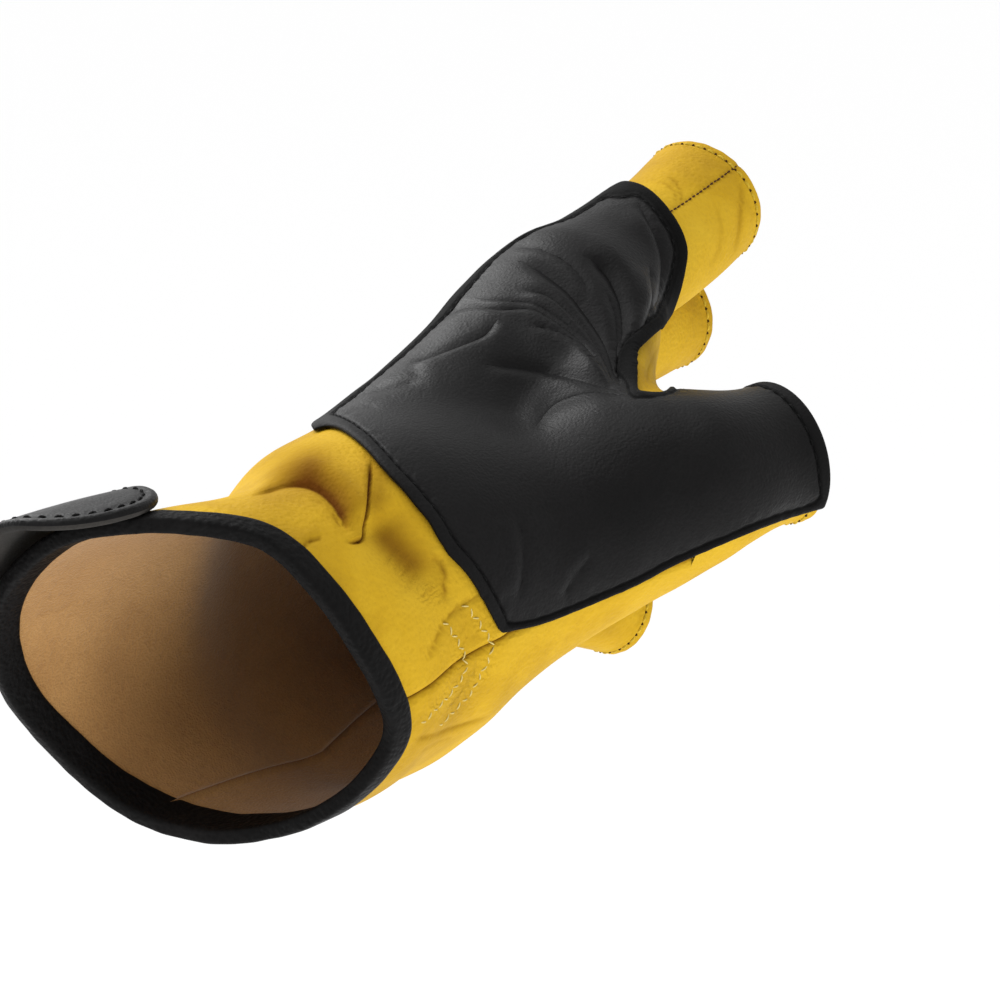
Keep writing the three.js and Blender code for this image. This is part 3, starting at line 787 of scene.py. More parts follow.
# Leather grain: small rounded cells with fine wrinkles between, and a few long shallow ones
grain_group, taken, given = node_group(
    "leather_grain",
    [("Place", "Vector", (0, 0, 0)), ("Cells", "Float", 900.0), ("Wrinkles", "Float", 160.0)],
    [("Height", "Float"), ("Blotch", "Float")])
cells = add_node(grain_group, "ShaderNodeTexVoronoi",
                 [("Vector", taken["Place"]), ("Scale", taken["Cells"]), ("Randomness", 1.0)],
                 feature="SMOOTH_F1")
lines = noise(grain_group, taken["Place"], taken["Wrinkles"], 4.0, 0.6)
ridge = math_node(grain_group, "ABSOLUTE", math_node(grain_group, "SUBTRACT", lines, 0.5))
height = math_node(grain_group, "ADD", math_node(grain_group, "MULTIPLY", cells.outputs["Distance"], 0.5),
                   math_node(grain_group, "MULTIPLY", ridge, -0.9))
grain_group.links.new(height, given["Height"])
grain_group.links.new(noise(grain_group, taken["Place"], 38.0, 4.0), given["Blotch"])

# Tone: blotches from handling dull or pale the leather, grain valleys take some deep tone, and the
# crease mark mixes in the deep tone as painted shade
tone_group, taken, given = node_group(
    "tone_with_painted_shade",
    [("Tone", "Color", (1, 1, 1, 1)), ("Deep tone", "Color", (0, 0, 0, 1)),
     ("Pale tone", "Color", (1, 1, 1, 1)), ("Blotch", "Float", 0.5), ("Crease", "Float", 0.0),
     ("Grain", "Float", 0.0), ("Grain share", "Float", 0.3)],
    [("Tone", "Color")])
pale = math_node(tone_group, "MULTIPLY", math_node(tone_group, "SUBTRACT", taken["Blotch"], 0.48), 2.2, True)
dull = math_node(tone_group, "MULTIPLY", math_node(tone_group, "SUBTRACT", 0.52, taken["Blotch"]), 1.6, True)
shaded = mix_colours(tone_group, dull, taken["Tone"], taken["Deep tone"])
shaded = mix_colours(tone_group, pale, shaded, taken["Pale tone"])
valley = math_node(tone_group, "SUBTRACT", 0.5, math_node(tone_group, "MULTIPLY", taken["Grain"], 1.8), True)
valley = math_node(tone_group, "MULTIPLY", valley, taken["Grain share"])
shaded = mix_colours(tone_group, valley, shaded, taken["Deep tone"])
# Painted shade: the crease mark mixes in the deep tone
deep = math_node(tone_group, "MULTIPLY", taken["Crease"], 1.0, True)
tone_group.links.new(mix_colours(tone_group, deep, shaded, taken["Deep tone"]), given["Tone"])

# Fine wrinkles: a wave that runs with a mark on the leather, shaken by noise
wrinkle_group, taken, given = node_group(
    "gathered_wrinkles",
    [("Place", "Vector", (0, 0, 0)), ("Turns", "Float", 0.0), ("Rise", "Float", 0.0)], [("Height", "Float")])
shaken = math_node(wrinkle_group, "MULTIPLY", noise(wrinkle_group, taken["Place"], 330.0), 3.0)
turned = math_node(wrinkle_group, "ADD", taken["Turns"], shaken)
wave = math_node(wrinkle_group, "SINE", math_node(wrinkle_group, "MULTIPLY", turned, 2 * math.pi))
patchy = math_node(wrinkle_group, "MULTIPLY", noise(wrinkle_group, taken["Place"], 420.0), 1.5)
wrinkle_group.links.new(
    math_node(wrinkle_group, "MULTIPLY", math_node(wrinkle_group, "MULTIPLY", wave, patchy), taken["Rise"]),
    given["Height"])


def leather(name, tone, deep_tone, pale_tone, roughness, cells, wrinkles, relief, sheen=0.0, specular=0.5,
            grain_share=0.3):
    """Leather: tone with blotches and painted shade in the creases, roughness that follows the blotches
    and rises in the creases, and grain and wrinkles as bumps.
    """
    material = bpy.data.materials.new(name)
    material.use_nodes = True
    tree = material.node_tree
    skin = tree.nodes["Principled BSDF"]
    place = add_node(tree, "ShaderNodeTexCoord").outputs["Object"]
    grain = add_node(tree, "ShaderNodeGroup", node_tree=grain_group)
    tree.links.new(place, grain.inputs["Place"])
    grain.inputs["Cells"].default_value = cells
    grain.inputs["Wrinkles"].default_value = wrinkles
    # The crease mark holds the share of painted shade, which the tone node mixes in as the deep tone
    crease = add_node(tree, "ShaderNodeAttribute", attribute_name="crease").outputs["Fac"]
    worn = add_node(tree, "ShaderNodeGroup", node_tree=tone_group)
    worn.inputs["Tone"].default_value = (*tone, 1)
    worn.inputs["Deep tone"].default_value = (*deep_tone, 1)
    worn.inputs["Pale tone"].default_value = (*pale_tone, 1)
    tree.links.new(grain.outputs["Blotch"], worn.inputs["Blotch"])
    tree.links.new(crease, worn.inputs["Crease"])
    tree.links.new(grain.outputs["Height"], worn.inputs["Grain"])
    worn.inputs["Grain share"].default_value = grain_share
    tree.links.new(worn.outputs["Tone"], skin.inputs["Base Color"])
    spread = math_node(tree, "MULTIPLY_ADD", grain.outputs["Blotch"], 0.25)
    spread.node.inputs[2].default_value = roughness - 0.12
    matt = math_node(tree, "MULTIPLY", crease, CREASE_MATT)
    tree.links.new(math_node(tree, "ADD", spread, matt, True), skin.inputs["Roughness"])
    gathers = add_node(tree, "ShaderNodeGroup", node_tree=wrinkle_group)
    tree.links.new(place, gathers.inputs["Place"])
    for socket, mark in (("Turns", "wrinkle_turns"), ("Rise", "wrinkle_rise")):
        tree.links.new(add_node(tree, "ShaderNodeAttribute", attribute_name=mark).outputs["Fac"],
                       gathers.inputs[socket])
    drawn = add_node(tree, "ShaderNodeBump", [("Height", gathers.outputs["Height"]),
                                              ("Distance", WRINKLE_RELIEF * MM), ("Strength", 1.0)])
    bump = add_node(tree, "ShaderNodeBump", [("Height", grain.outputs["Height"]), ("Distance", relief * MM),
                                             ("Strength", 1.0), ("Normal", drawn.outputs[0])])
    tree.links.new(bump.outputs[0], skin.inputs["Normal"])
    skin.inputs["Sheen Weight"].default_value = sheen
    skin.inputs["Specular IOR Level"].default_value = specular
    return material


# The deep tone dulls blotches and grain valleys, and is the painted shade where the crease mark is high
YELLOW = (0.50, 0.302, 0.013)
YELLOW_DEEP = (0.11, 0.036, 0.003)
YELLOW_PALE = (0.58, 0.38, 0.03)
WRINKLE_RELIEF = 0.08
CREASE_MATT = 0.6
yellow_leather = leather("yellow_leather", YELLOW, YELLOW_DEEP, YELLOW_PALE, 0.7, 1250, 420, 0.28,
                         specular=0.08, grain_share=0.12)
flesh_side = leather("flesh_side", (0.36, 0.19, 0.06), (0.18, 0.08, 0.02), (0.44, 0.25, 0.09), 0.92,
                     2600, 500, 0.25, sheen=0.3, specular=0.2, grain_share=0.6)


def finish_leather(piece, materials, node):
    """Puts the materials on, and gives the piece its place in the frame."""
    for material in materials:
        piece.data.materials.append(material)
    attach(piece, "root")
    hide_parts(node)


SEAM_ROLL = 1.5
SEAM_DEPTH = 0.8
SEAM_SHADE = 0.2
panels = glove_sheet
panels["leather"] = glove_sheet["cuff"] - 1.2
panels["not_stall"] = -glove_sheet["stalls"]
panels = kept(kept(panels, "leather"), "not_stall")
panels["back"] = -panels["palm"]


def seam_groove(distance):
    """Depth of leather that rolls down into a seam: a parabola over the width of the roll."""
    return SEAM_DEPTH * np.clip(1 - distance / SEAM_ROLL, 0, 1) ** 2


def sewn_edge(sheet, mark):
    """The sheet with the edge lines that a seam's roll needs, and painted shade as a dark line along the
    seam.
    """
    for step in ROUND_STEPS:
        sheet = scored(sheet, mark, step * SEAM_ROLL)
    return {**sheet, "crease": np.maximum(sheet["crease"], np.exp(-sheet[mark] / SEAM_SHADE))}


back_sheet = sewn_edge(largest(kept(panels, "back")), "back")
groove = seam_groove(back_sheet["back"])
back_panel = leather_piece("back_panel_leather", back_sheet, above(back_sheet, -groove),
                           below(back_sheet, -LEATHER - groove))
finish_leather(back_panel, [yellow_leather, flesh_side], "back_panel")

# Palm panel: the second main piece of yellow leather, from the cuff to the stalls and out to the
# ball of the thumb. Its edges are sewn to the back panel inside out, so they roll into the seams.
palm_sheet = sewn_edge(largest(kept(panels, "palm")), "palm")
groove = seam_groove(palm_sheet["palm"])
palm_panel = leather_piece("palm_panel_leather", palm_sheet, above(palm_sheet, -groove),
                           below(palm_sheet, -LEATHER - groove))
finish_leather(palm_panel, [yellow_leather, flesh_side], "palm_panel")

# Finger and thumb stalls: open tubes of the same leather. The rim of each is turned in and
# stitched, which makes it twice as thick there.
HEM_WIDTH = 3.2
HEM_THICKNESS = 0.9
HEM_PROUD = 0.25
HEM_LINE = 2.3
HEM_GROOVE = 0.3
RIM_RADIUS = 0.7
stall_sheets = {}
for stall in STALLS:
    # The index and thumb stalls keep the glove's crease mark, with its painted shade
    if stall in ("index", "thumb"):
        sheet = dict(glove_sheet)
    else:
        start, direction, length = stall_axis(stall)
        low = np.minimum(start, start + length * direction) - 22
        high = np.maximum(start, start + length * direction) + 22
        low[0] -= 12
        sheet = make_sheet({stall: True}, low, high)
        rise = 0.3 * wander(sheet["points"], 18, 7) + 0.12 * wander(sheet["points"], 7, 8)
        sheet = pressed(sheet, rise, np.zeros(len(rise)), np.zeros(len(rise)))
        sheet[stall] = in_stall(sheet["plain_points"], stall)
    sheet["rim"] = before_rim(sheet["plain_points"], stall)
    sheet = largest(kept(kept(sheet, stall), "rim"))
    for level in (HEM_LINE - 0.4, HEM_LINE, HEM_LINE + 0.4, HEM_WIDTH, HEM_WIDTH + 0.5):
        sheet = scored(sheet, "rim", level)
    sheet = rounded(sheet, "rim", RIM_RADIUS)
    turned_in = soft_step((HEM_WIDTH + 0.5 - sheet["rim"]) / 1.0)
    thickness = LEATHER + HEM_THICKNESS * turned_in
    drop = edge_drop(sheet["rim"], RIM_RADIUS) * thickness
    sewn = HEM_GROOVE * np.exp(-((sheet["rim"] - HEM_LINE) / 0.4) ** 2)
    puckered = 0.2 * wander(sheet["plain_points"], 2.6, 22) * np.exp(-((sheet["rim"] - 1.0) / 1.2) ** 2)
    outer = HEM_PROUD * turned_in - drop - sewn + puckered
    inner = -thickness + HEM_PROUD * turned_in + drop
    stall_sheets[stall] = sheet
    piece = leather_piece(f"{stall}_stall_leather", sheet, above(sheet, outer), below(sheet, inner))
    finish_leather(piece, [yellow_leather, flesh_side], f"{stall}_stall")

# Grip patch: black smooth leather laid over the web, the root of the index stall and the thumb.
# Its edge is turned under and stitched, and its lower edge goes into the side seam.
PATCH_THICKNESS = 1.0
PATCH_LIFT = 0.15
LIMIT_HEMS = {"back": (4.0, 0.8), "web": (1.5, 0.6), "thumb rim": (2.7, 0.5)}
PATCH_EDGE_RADIUS = 0.8
PATCH_HEM_LEVELS = (-0.5, -0.2, 0.0, 0.2, 0.5)
PATCH_MARGIN = 80
UNSEWN_EDGES = ("side seam", "over the thumb")
PATTERN_EYE = np.array([-325, -364, 133], float)
PATTERN_DISTANCE = 518
PATCH_EDGES = by_name(("hem", "dark", "line"), {
    "corner": (2.0, 0.4, [(-33.8, 14.3), (-32.3, 10.9)]),
    "wrist": (2.0, 0.3,
        [(-32.3, 10.9), (-30.2, 11.7), (-28.2, 11.2), (-25.9, 9.5), (-23.5, 7.2), (-19.9, 3.0),
         (-16, -0.8), (-12.9, -4.5), (-10.8, -8), (-5.9, -14), (-2.3, -20), (-0.6, -23.2)]),
    "side seam": (1.0, 0.6,
        [(-0.6, -23.2), (6.9, -21.2), (20.8, -15.4), (30, -10.8), (38.7, -7), (47.4, -3.5), (55.5, -1),
         (66, 2)]),
    "past the thumb rim": (2.7, 0.5, [(66, 2), (66, 24)]),
    "over the thumb": (0.9, 0.5,
        [(66, 24), (36, 23), (31, 20.4), (28.6, 18.7), (26.4, 18.1), (23.6, 18.2)]),
    "index": (2.0, 0.9,
        [(23.6, 18.2), (23.1, 24), (24.0, 26.3), (26.0, 28.8), (27.8, 31), (29.5, 35), (30.8, 39.8),
         (31.2, 43.2), (30.1, 46.7), (27.7, 50.4), (25.2, 52.9), (22.8, 54.0), (20.5, 54.2)]),
    "back": (4.0, 0.8,
        [(20.5, 54.2), (16, 60), (2, 54), (-10, 45), (-20, 34), (-29, 24), (-36, 18.5), (-33.8, 14.3)]),
})
PATCH_BACK = {"point": (27.4, 16.1, 29.1), "normal": (0.08, 0.812, -0.578)}
BACK_BEND = [(24, -3), (34, -0.8), (45, 0.5), (85, 0.8), (94, -2.3), (104, -3.4), (125, -3.2)]
WEB_END = {"point": (66.5, -11.4, 11.1), "normal": (0.709, 0.671, -0.215)}
WEB_TOP_Z = 35.5


def in_outline(places, outline):
    """Distance inside a closed flat outline, and below 0 outside it. The sign comes from how often
    a line to the left crosses the outline."""
    best = np.full(len(places), 1e9)
    inside = np.zeros(len(places), bool)
    for start, end in zip(outline, np.roll(outline, -1, 0)):
        way = end - start
        off = places - start
        share = np.clip(off @ way / (way @ way), 0, 1)
        best = np.minimum(best, np.linalg.norm(off - share[:, None] * way, axis=1))
        spans = (start[1] > places[:, 1]) != (end[1] > places[:, 1])
        reach = start[0] + (places[:, 1] - start[1]) / (way[1] + 1e-12) * way[0]
        inside ^= spans & (places[:, 0] < reach)
    return np.where(inside, best, -best)


def on_pattern(points):
    """Places of points in the flat pattern view, in millimetres right and up."""
    off = points - PATTERN_EYE
    depth = -(off @ TOWARD) / PATTERN_DISTANCE
    return np.stack([off @ RIGHT, off @ UP], 1) / depth[:, None]


def patch_limits(points):
    """Distances inside the planes that end the patch on the sides that the view doesn't show: along
    the back of the hand, where the edge bends with x, and in the web, behind the thumb."""
    bend = np.interp(points[:, 0], *smooth_line(BACK_BEND).T)
    in_web = np.maximum(past_plane(points, **WEB_PLANE), points[:, 2] - WEB_TOP_Z)
    return bend - past_plane(points, **PATCH_BACK), -round_join(past_plane(points, **WEB_END), -in_web, 4)


def on_patch(points):
    """Distance inside the patch, from its outline in the view and from its other limits, with the
    corners between them rounded."""
    places = on_pattern(points)
    inside = in_outline(places, np.concatenate(
        [smooth_line(edge["line"])[:-1] for edge in PATCH_EDGES.values()]))
    back, web = patch_limits(points)
    inside = round_join(round_join(inside, back, 3), web, 3)
    return np.minimum(inside, before_patch_rim(points))


def before_patch_rim(points):
    """Distance back from the thumb rim, a little short of it, and far off outside the thumb stall."""
    return np.where(in_stall(points, "thumb") > 0, before_rim(points, "thumb") - 0.2, 1e3)


def past_hem(points, inside):
    """Distance inside the stitch line of the patch, and how dark the hem is. The hem's width and tone
    are those of the nearest edge, with a soft change where two edges meet."""
    places = on_pattern(points)
    edges = PATCH_EDGES.values()
    away = [np.abs(beside_line(places, smooth_line(edge["line"]), PATCH_MARGIN)[0]) for edge in edges]
    away += [np.abs(limit) for limit in patch_limits(points)] + [before_patch_rim(points)]
    hems = np.array([(edge["hem"], edge["dark"]) for edge in edges] + list(LIMIT_HEMS.values()))
    near = np.exp(-(np.array(away) - np.min(away, 0)) / 0.8)
    width, dark = hems.T @ (near / near.sum(0))
    return inside - width, dark


patch_sheet = worn(plain_sheet, WEB_FOLDS)
patch_sheet["patch"] = on_patch(patch_sheet["plain_points"])
patch_sheet = largest(kept(patch_sheet, "patch"))
patch_sheet = rounded(patch_sheet, "patch", PATCH_EDGE_RADIUS)
patch_sheet["hem"], patch_sheet["dark"] = past_hem(patch_sheet["plain_points"], patch_sheet["patch"])
for level in PATCH_HEM_LEVELS:
    patch_sheet = scored(patch_sheet, "hem", level)
drop = edge_drop(patch_sheet["patch"], PATCH_EDGE_RADIUS) * PATCH_THICKNESS
puff = (0.15 + 0.25 * patch_sheet["dark"]) * soft_step((0.4 - patch_sheet["hem"]) / 0.8)
stitched = 0.35 * np.exp(-(patch_sheet["hem"] / 0.35) ** 2)
puckered = 0.22 * wander(patch_sheet["plain_points"], 2.4, 21)
puckered *= np.exp(-((patch_sheet["hem"] - 0.5) / 1.3) ** 2)
outer = PATCH_LIFT + PATCH_THICKNESS + puff + puckered - stitched - drop
# Painted shade along the stitch line's groove, the deep tone over the turned-under hem by each edge's
# darkness, and a third of the folds' painted shade
in_hem = patch_sheet["dark"] * soft_step(-patch_sheet["hem"] / 0.4)
stitch_shade_and_dark_hem = np.maximum(np.exp(-(patch_sheet["hem"] / 0.3) ** 2), in_hem)
patch_sheet["crease"] = np.maximum(0.3 * patch_sheet["crease"], stitch_shade_and_dark_hem)

# The deep tone dulls blotches and grain valleys, and is the painted shade where the crease mark is high
BLACK = (0.004, 0.0037, 0.0038)
BLACK_DEEP = (0.0015, 0.0015, 0.0015)
BLACK_PALE = (0.009, 0.0085, 0.0088)
black_leather = leather("black_leather", BLACK, BLACK_DEEP, BLACK_PALE, 0.42, 2000, 620, 0.13, specular=0.13,
                        grain_share=0.9)
black_flesh = leather("black_flesh_side", (0.03, 0.028, 0.026), BLACK_DEEP, (0.05, 0.045, 0.04), 0.95,
                      2600, 500, 0.1, specular=0.2)
grip_patch = leather_piece("grip_patch_leather", patch_sheet, above(patch_sheet, outer),
                           above(patch_sheet, PATCH_LIFT + drop))
finish_leather(grip_patch, [black_leather, black_flesh], "grip_patch")

# Wrist binding: a strip of black leather folded over the cuff edge and sewn through.
# It follows the cuff all the way round and hides the raw edges of the two panels.


def traced(sheet, mark, level=0.0):
    """Longest line on a sheet where a mark has one level. Each crossed face gives a short piece from
    edge to edge, and pieces that share an edge are strung together."""
    _, _, edges, share, place = crossed_edges(sheet, mark, level)
    links = [[] for _ in edges]
    for first, last in place.T.tolist():
        links[first].append(last)
        links[last].append(first)
    free = set(range(len(edges)))
    ends = [i for i, near in enumerate(links) if len(near) == 1]
    chains = []
    for begin in ends + list(range(len(edges))):
        if begin not in free:
            continue
        chain = [begin]
        free.discard(begin)
        while True:
            onward = [i for i in links[chain[-1]] if i in free]
            if not onward:
                break
            chain.append(onward[0])
            free.discard(onward[0])
        if len(links[begin]) == 2 and chain[-1] in links[begin] and len(chain) > 2:
            chain.append(begin)
        chains.append(chain)
    chain = max(chains, key=len)
    first, last = edges[chain].T
    share = share[chain][:, None]
    return {key: sheet[key][first] + share * (sheet[key][last] - sheet[key][first])
            for key in ("points", "normals")}


def evened(line, spacing, soften=0.0):
    """Points, normals and ways at even steps along a traced line, softened by a running mean."""
    points, normals = line["points"], line["normals"]
    run = np.concatenate([[0], np.cumsum(np.linalg.norm(np.diff(points, axis=0), axis=1))])
    closed = np.linalg.norm(points[0] - points[-1]) < 1e-6
    count = max(int(round(run[-1] / spacing)), 3)
    at = np.linspace(0, run[-1], count, endpoint=not closed)
    fine = [np.stack([np.interp(at, run, array[:, i]) for i in range(3)], 1) for array in (points, normals)]
    if soften and closed:
        width = int(round(soften / spacing))
        kernel = np.hanning(2 * width + 3)[1:-1]
        kernel /= kernel.sum()
        turned = [np.stack([np.roll(array, s, 0) for s in range(-width, width + 1)]) for array in fine]
        fine = [np.tensordot(kernel, array, 1) for array in turned]
    points, normals = fine
    if closed:
        ways = np.roll(points, -1, 0) - np.roll(points, 1, 0)
    else:
        ways = np.gradient(points, axis=0)
    ways /= np.linalg.norm(ways, axis=1)[:, None]
    normals = normals - (normals * ways).sum(1)[:, None] * ways
    return points, normals / np.linalg.norm(normals, axis=1)[:, None], ways


def swept(points, across, out, profile):
    """Closed profile carried round a closed line: its columns are distances across and out.
    Each face joins two neighbours of the profile at two neighbouring stations."""
    grid = points[:, None] + profile[..., :1] * across[:, None] + profile[..., 1:] * out[:, None]
    stations, sides = grid.shape[:2]
    number = np.arange(stations * sides).reshape(stations, sides)
    ahead = np.roll(number, -1, 0)
    faces = np.stack([number, np.roll(number, -1, 1), np.roll(ahead, -1, 1), ahead], -1)
    return grid.reshape(-1, 3), faces.reshape(-1, 4)


BINDING_OUT = 0.85
BINDING_IN = 2.1
BINDING_LEG_TOP = -1.0
BINDING_LEG = (1.0, 4.5)
BINDING_WIDE_ANGLE = -110
BINDING_STATION = 0.7
BINDING_SQUARENESS = 0.45
cuff_line = traced(glove_sheet, "cuff", BINDING_WIDTH / 2)
points, normals, ways = evened(cuff_line, BINDING_STATION, soften=3.0)
across = np.cross(ways, normals)
if across[:, 0].mean() < 0:
    across = -across
turn = np.linspace(0, 2 * math.pi, 28, endpoint=False)
circle = np.stack([np.cos(turn), np.sin(turn)], 1)
box = np.sign(circle) * np.abs(circle) ** BINDING_SQUARENESS
profile = box * [BINDING_WIDTH / 2 + 0.1, (BINDING_OUT + BINDING_IN) / 2]
profile = profile + [0, (BINDING_OUT - BINDING_IN) / 2]
inner_leg = soft_step((profile[:, 0] - 0.5) / 1.2) * (profile[:, 1] < BINDING_LEG_TOP)
angle, _ = round_wrist(points, CUFF_CENTRE_X)
palm_share = soft_step((np.cos(np.radians(angle - BINDING_WIDE_ANGLE)) + 0.4) / 1.2)
reach = BINDING_LEG[0] + (BINDING_LEG[1] - BINDING_LEG[0]) * palm_share
profile = profile[None] + inner_leg[None, :, None] * reach[:, None, None] * np.array([1, 0])
points, faces = swept(points, across, normals, profile)
triangles = np.concatenate([faces[:, :3], faces[:, [0, 2, 3]]])
points = points + 0.12 * wander(points, 5, 11)[:, None] * corner_normals(points, triangles)
volume = np.einsum("ij,ij->i", points[triangles[:, 0]],
                   np.cross(points[triangles[:, 1]], points[triangles[:, 2]])).sum()
if volume < 0:
    faces = faces[:, ::-1]
binding_leather = leather("binding_leather", (0.005, 0.0047, 0.0047), BLACK_DEEP, (0.010, 0.009, 0.009), 0.55,
                          1200, 300, 0.4, specular=0.07, grain_share=0.8)
binding = add_mesh("wrist_binding_strip", points, faces, marks={"crease": np.zeros(len(points))})
finish_leather(binding, [binding_leather], "wrist_binding")

# Closure tab: the end of a black leather strap that lies over the back of the wrist.
# It is stitched to the cuff under the strap, and its corners are rounded.
TAB = {"angles": (19, 108), "x": (-46, -20), "lift": 1.4, "thickness": 2.0, "corner": 6, "end_corner": 12}
TAB_EDGE_RADIUS = 0.9
TAB_STITCH_LINE = 2.2
TAB_ARCH = [(19, -0.6), (25, -0.5), (32, 0), (42, 1.1), (55, 1.9), (72, 1.4), (90, 0.4), (108, 0)]


def tab_lift(points):
    """Height of the tab over the cuff: its lift, and an arch over the angle round the wrist."""
    angle, _ = round_wrist(points, CUFF_CENTRE_X)
    return TAB["lift"] + np.interp(angle, *smooth_line(TAB_ARCH).T)


def on_tab(points):
    """Distance inside a box with rounded corners, laid round the wrist."""
    angle, _ = round_wrist(points, CUFF_CENTRE_X)
    middle, half = np.mean(TAB["angles"]), np.ptp(TAB["angles"]) / 2
    arc = np.radians(np.abs(angle - middle)) * WRIST_RADIUS - math.radians(half) * WRIST_RADIUS
    length = np.abs(points[:, 0] - np.mean(TAB["x"])) - np.ptp(TAB["x"]) / 2
    corner = np.where(angle < middle, TAB["end_corner"], TAB["corner"])
    over = np.stack([arc, length], 1) + corner[:, None]
    return corner - np.linalg.norm(np.maximum(over, 0), axis=1) - np.minimum(over.max(1), 0)


# The tab keeps the crease mark of the cuff below it, with its painted shade
tab_sheet = {key: glove_sheet[key] for key in ("faces", "plain_points", "crease")}
tab_sheet["points"] = glove_sheet["plain_points"]
tab_sheet["normals"] = corner_normals(glove_sheet["plain_points"], glove_sheet["faces"])
tab_sheet["tab"] = on_tab(tab_sheet["points"])
tab_sheet = rounded(largest(kept(tab_sheet, "tab")), "tab", TAB_EDGE_RADIUS)
drop = edge_drop(tab_sheet["tab"], TAB_EDGE_RADIUS) * TAB["thickness"]
stitched = 0.3 * np.exp(-((tab_sheet["tab"] - TAB_STITCH_LINE) / 0.5) ** 2)
lift = tab_lift(tab_sheet["points"])
tab = leather_piece("closure_tab_leather", tab_sheet,
                    above(tab_sheet, lift + TAB["thickness"] - stitched - drop),
                    above(tab_sheet, lift + drop))
finish_leather(tab, [black_leather, black_flesh], "closure_tab")

# Stitching: yellow thread in the stall hems, black thread round the patch and the tab, brown
# thread in the index seam, and two rows of pale zigzag that hold the elastic at the wrist.
THREAD_RINGS = np.linspace(-1, 1, 5)
THREAD_SIDES = 6


def stitches(points, normals, ways, length, radius, sunk):
    """Short threads, one at each point. Each is 5 rings of 6 corners along its way, thickest in the
    middle, arched so that both ends dip into the leather, and closed by a fan at each end."""
    t = THREAD_RINGS
    around = 2 * math.pi * np.arange(THREAD_SIDES) / THREAD_SIDES
    side = np.cross(ways, normals)
    spread = radius * np.sqrt(1 - 0.8 * t ** 2)
    lift = radius * (1 - sunk) - 1.5 * radius * t ** 2
    centres = (points[:, None] + ways[:, None] * (t * length / 2)[:, None] + normals[:, None] * lift[:, None])
    ring = (side[:, None, None] * np.cos(around)[:, None] + normals[:, None, None] * np.sin(around)[:, None])
    rings = centres[:, :, None] + spread[:, None, None] * ring
    ends = centres[:, [0, -1]] + ways[:, None] * np.array([-1, 1])[:, None] * radius * 0.4
    corners = np.concatenate([rings.reshape(len(points), -1, 3), ends], 1)
    number = np.arange(len(t) * THREAD_SIDES).reshape(len(t), THREAD_SIDES)
    ahead = np.roll(number, -1, 1)
    a, b, c, d = number[:-1], ahead[:-1], ahead[1:], number[1:]
    body = np.concatenate([np.stack([a, c, b], -1).reshape(-1, 3), np.stack([a, d, c], -1).reshape(-1, 3)])
    first, last = number.size, number.size + 1
    caps = [np.stack([number[0], ahead[0], np.full(THREAD_SIDES, first)], 1),
            np.stack([ahead[-1], number[-1], np.full(THREAD_SIDES, last)], 1)]
    faces = np.concatenate([body, *caps])
    faces = faces[None] + (number.size + 2) * np.arange(len(points))[:, None, None]
    return corners.reshape(-1, 3), faces.reshape(-1, 3)


def thread(name, tone, roughness=0.6):
    """Sewing thread: one tone with a fine twist."""
    material = bpy.data.materials.new(name)
    material.use_nodes = True
    tree = material.node_tree
    skin = tree.nodes["Principled BSDF"]
    place = add_node(tree, "ShaderNodeTexCoord").outputs["Object"]
    patchy = noise(tree, place, 900.0)
    dark = (*[0.6 * c for c in tone], 1)
    tree.links.new(mix_colours(tree, patchy, dark, (*tone, 1)), skin.inputs["Base Color"])
    twist = add_node(tree, "ShaderNodeBump", [("Height", noise(tree, place, 4000.0)), ("Distance", 0.1 * MM)])
    tree.links.new(twist.outputs[0], skin.inputs["Normal"])
    skin.inputs["Roughness"].default_value = roughness
    skin.inputs["Specular IOR Level"].default_value = 0.15
    return material


def add_stitches(name, rows, material, length, radius, sunk=0.35):
    """One mesh for all the stitches of some rows, each a (points, normals, ways) set."""
    points, normals, ways = (np.concatenate(parts) for parts in zip(*rows))
    corners, faces = stitches(points, normals, ways, length, radius, sunk)
    piece = add_mesh(name, corners, faces)
    piece.data.materials.append(material)
    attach(piece, "root")
    return piece


def where(row, wanted):
    """The stitches of a row that are wanted."""
    return tuple(part[wanted] for part in row)


def raised(row, amount):
    """A row of stitches moved out by an amount."""
    return (row[0] + amount * row[1], row[1], row[2])


yellow_thread = thread("yellow_thread", (0.62, 0.42, 0.03))
# Dark beads between the hem stitches: painted shade in the needle holes
painted_hole_shade = thread("painted_hole_shade", (0.05, 0.02, 0.004), 0.9)
black_thread = thread("black_thread", (0.003, 0.003, 0.003), 0.8)
brown_thread = thread("brown_thread", (0.06, 0.018, 0.008))
pale_thread = thread("pale_thread", (0.70, 0.56, 0.20))

HEM_STITCH = 2.6
hem_rows, hem_hole_shades = [], []
for stall, sheet in stall_sheets.items():
    row = evened(traced(sheet, "rim", HEM_LINE), HEM_STITCH / 2)
    if stall == "thumb":
        row = where(row, on_patch(row[0]) < -0.5)
    row = raised(row, HEM_PROUD - HEM_GROOVE / 2)
    hem_rows.append(tuple(part[::2] for part in row))
    hem_hole_shades.append(tuple(part[1::2] for part in row))
add_stitches("stall_hem_stitches", hem_rows, yellow_thread, 2.0, 0.3, sunk=0.6)
# The dark beads between the stitches are painted shade in the needle holes
add_stitches("stall_painted_hole_shades", hem_hole_shades, painted_hole_shade, 0.8, 0.28, sunk=0.85)

PATCH_STITCH = 2.4
row = evened(traced(patch_sheet, "hem"), PATCH_STITCH)
places = on_pattern(row[0])
unsewn = [beside_line(places, smooth_line(PATCH_EDGES[edge]["line"]), 20)[0] for edge in UNSEWN_EDGES]
row = raised(where(row, np.abs(unsewn).min(0) > 2.5), PATCH_LIFT + PATCH_THICKNESS - 0.2)
add_stitches("patch_stitches", [row], black_thread, 1.8, 0.24, sunk=0.7)

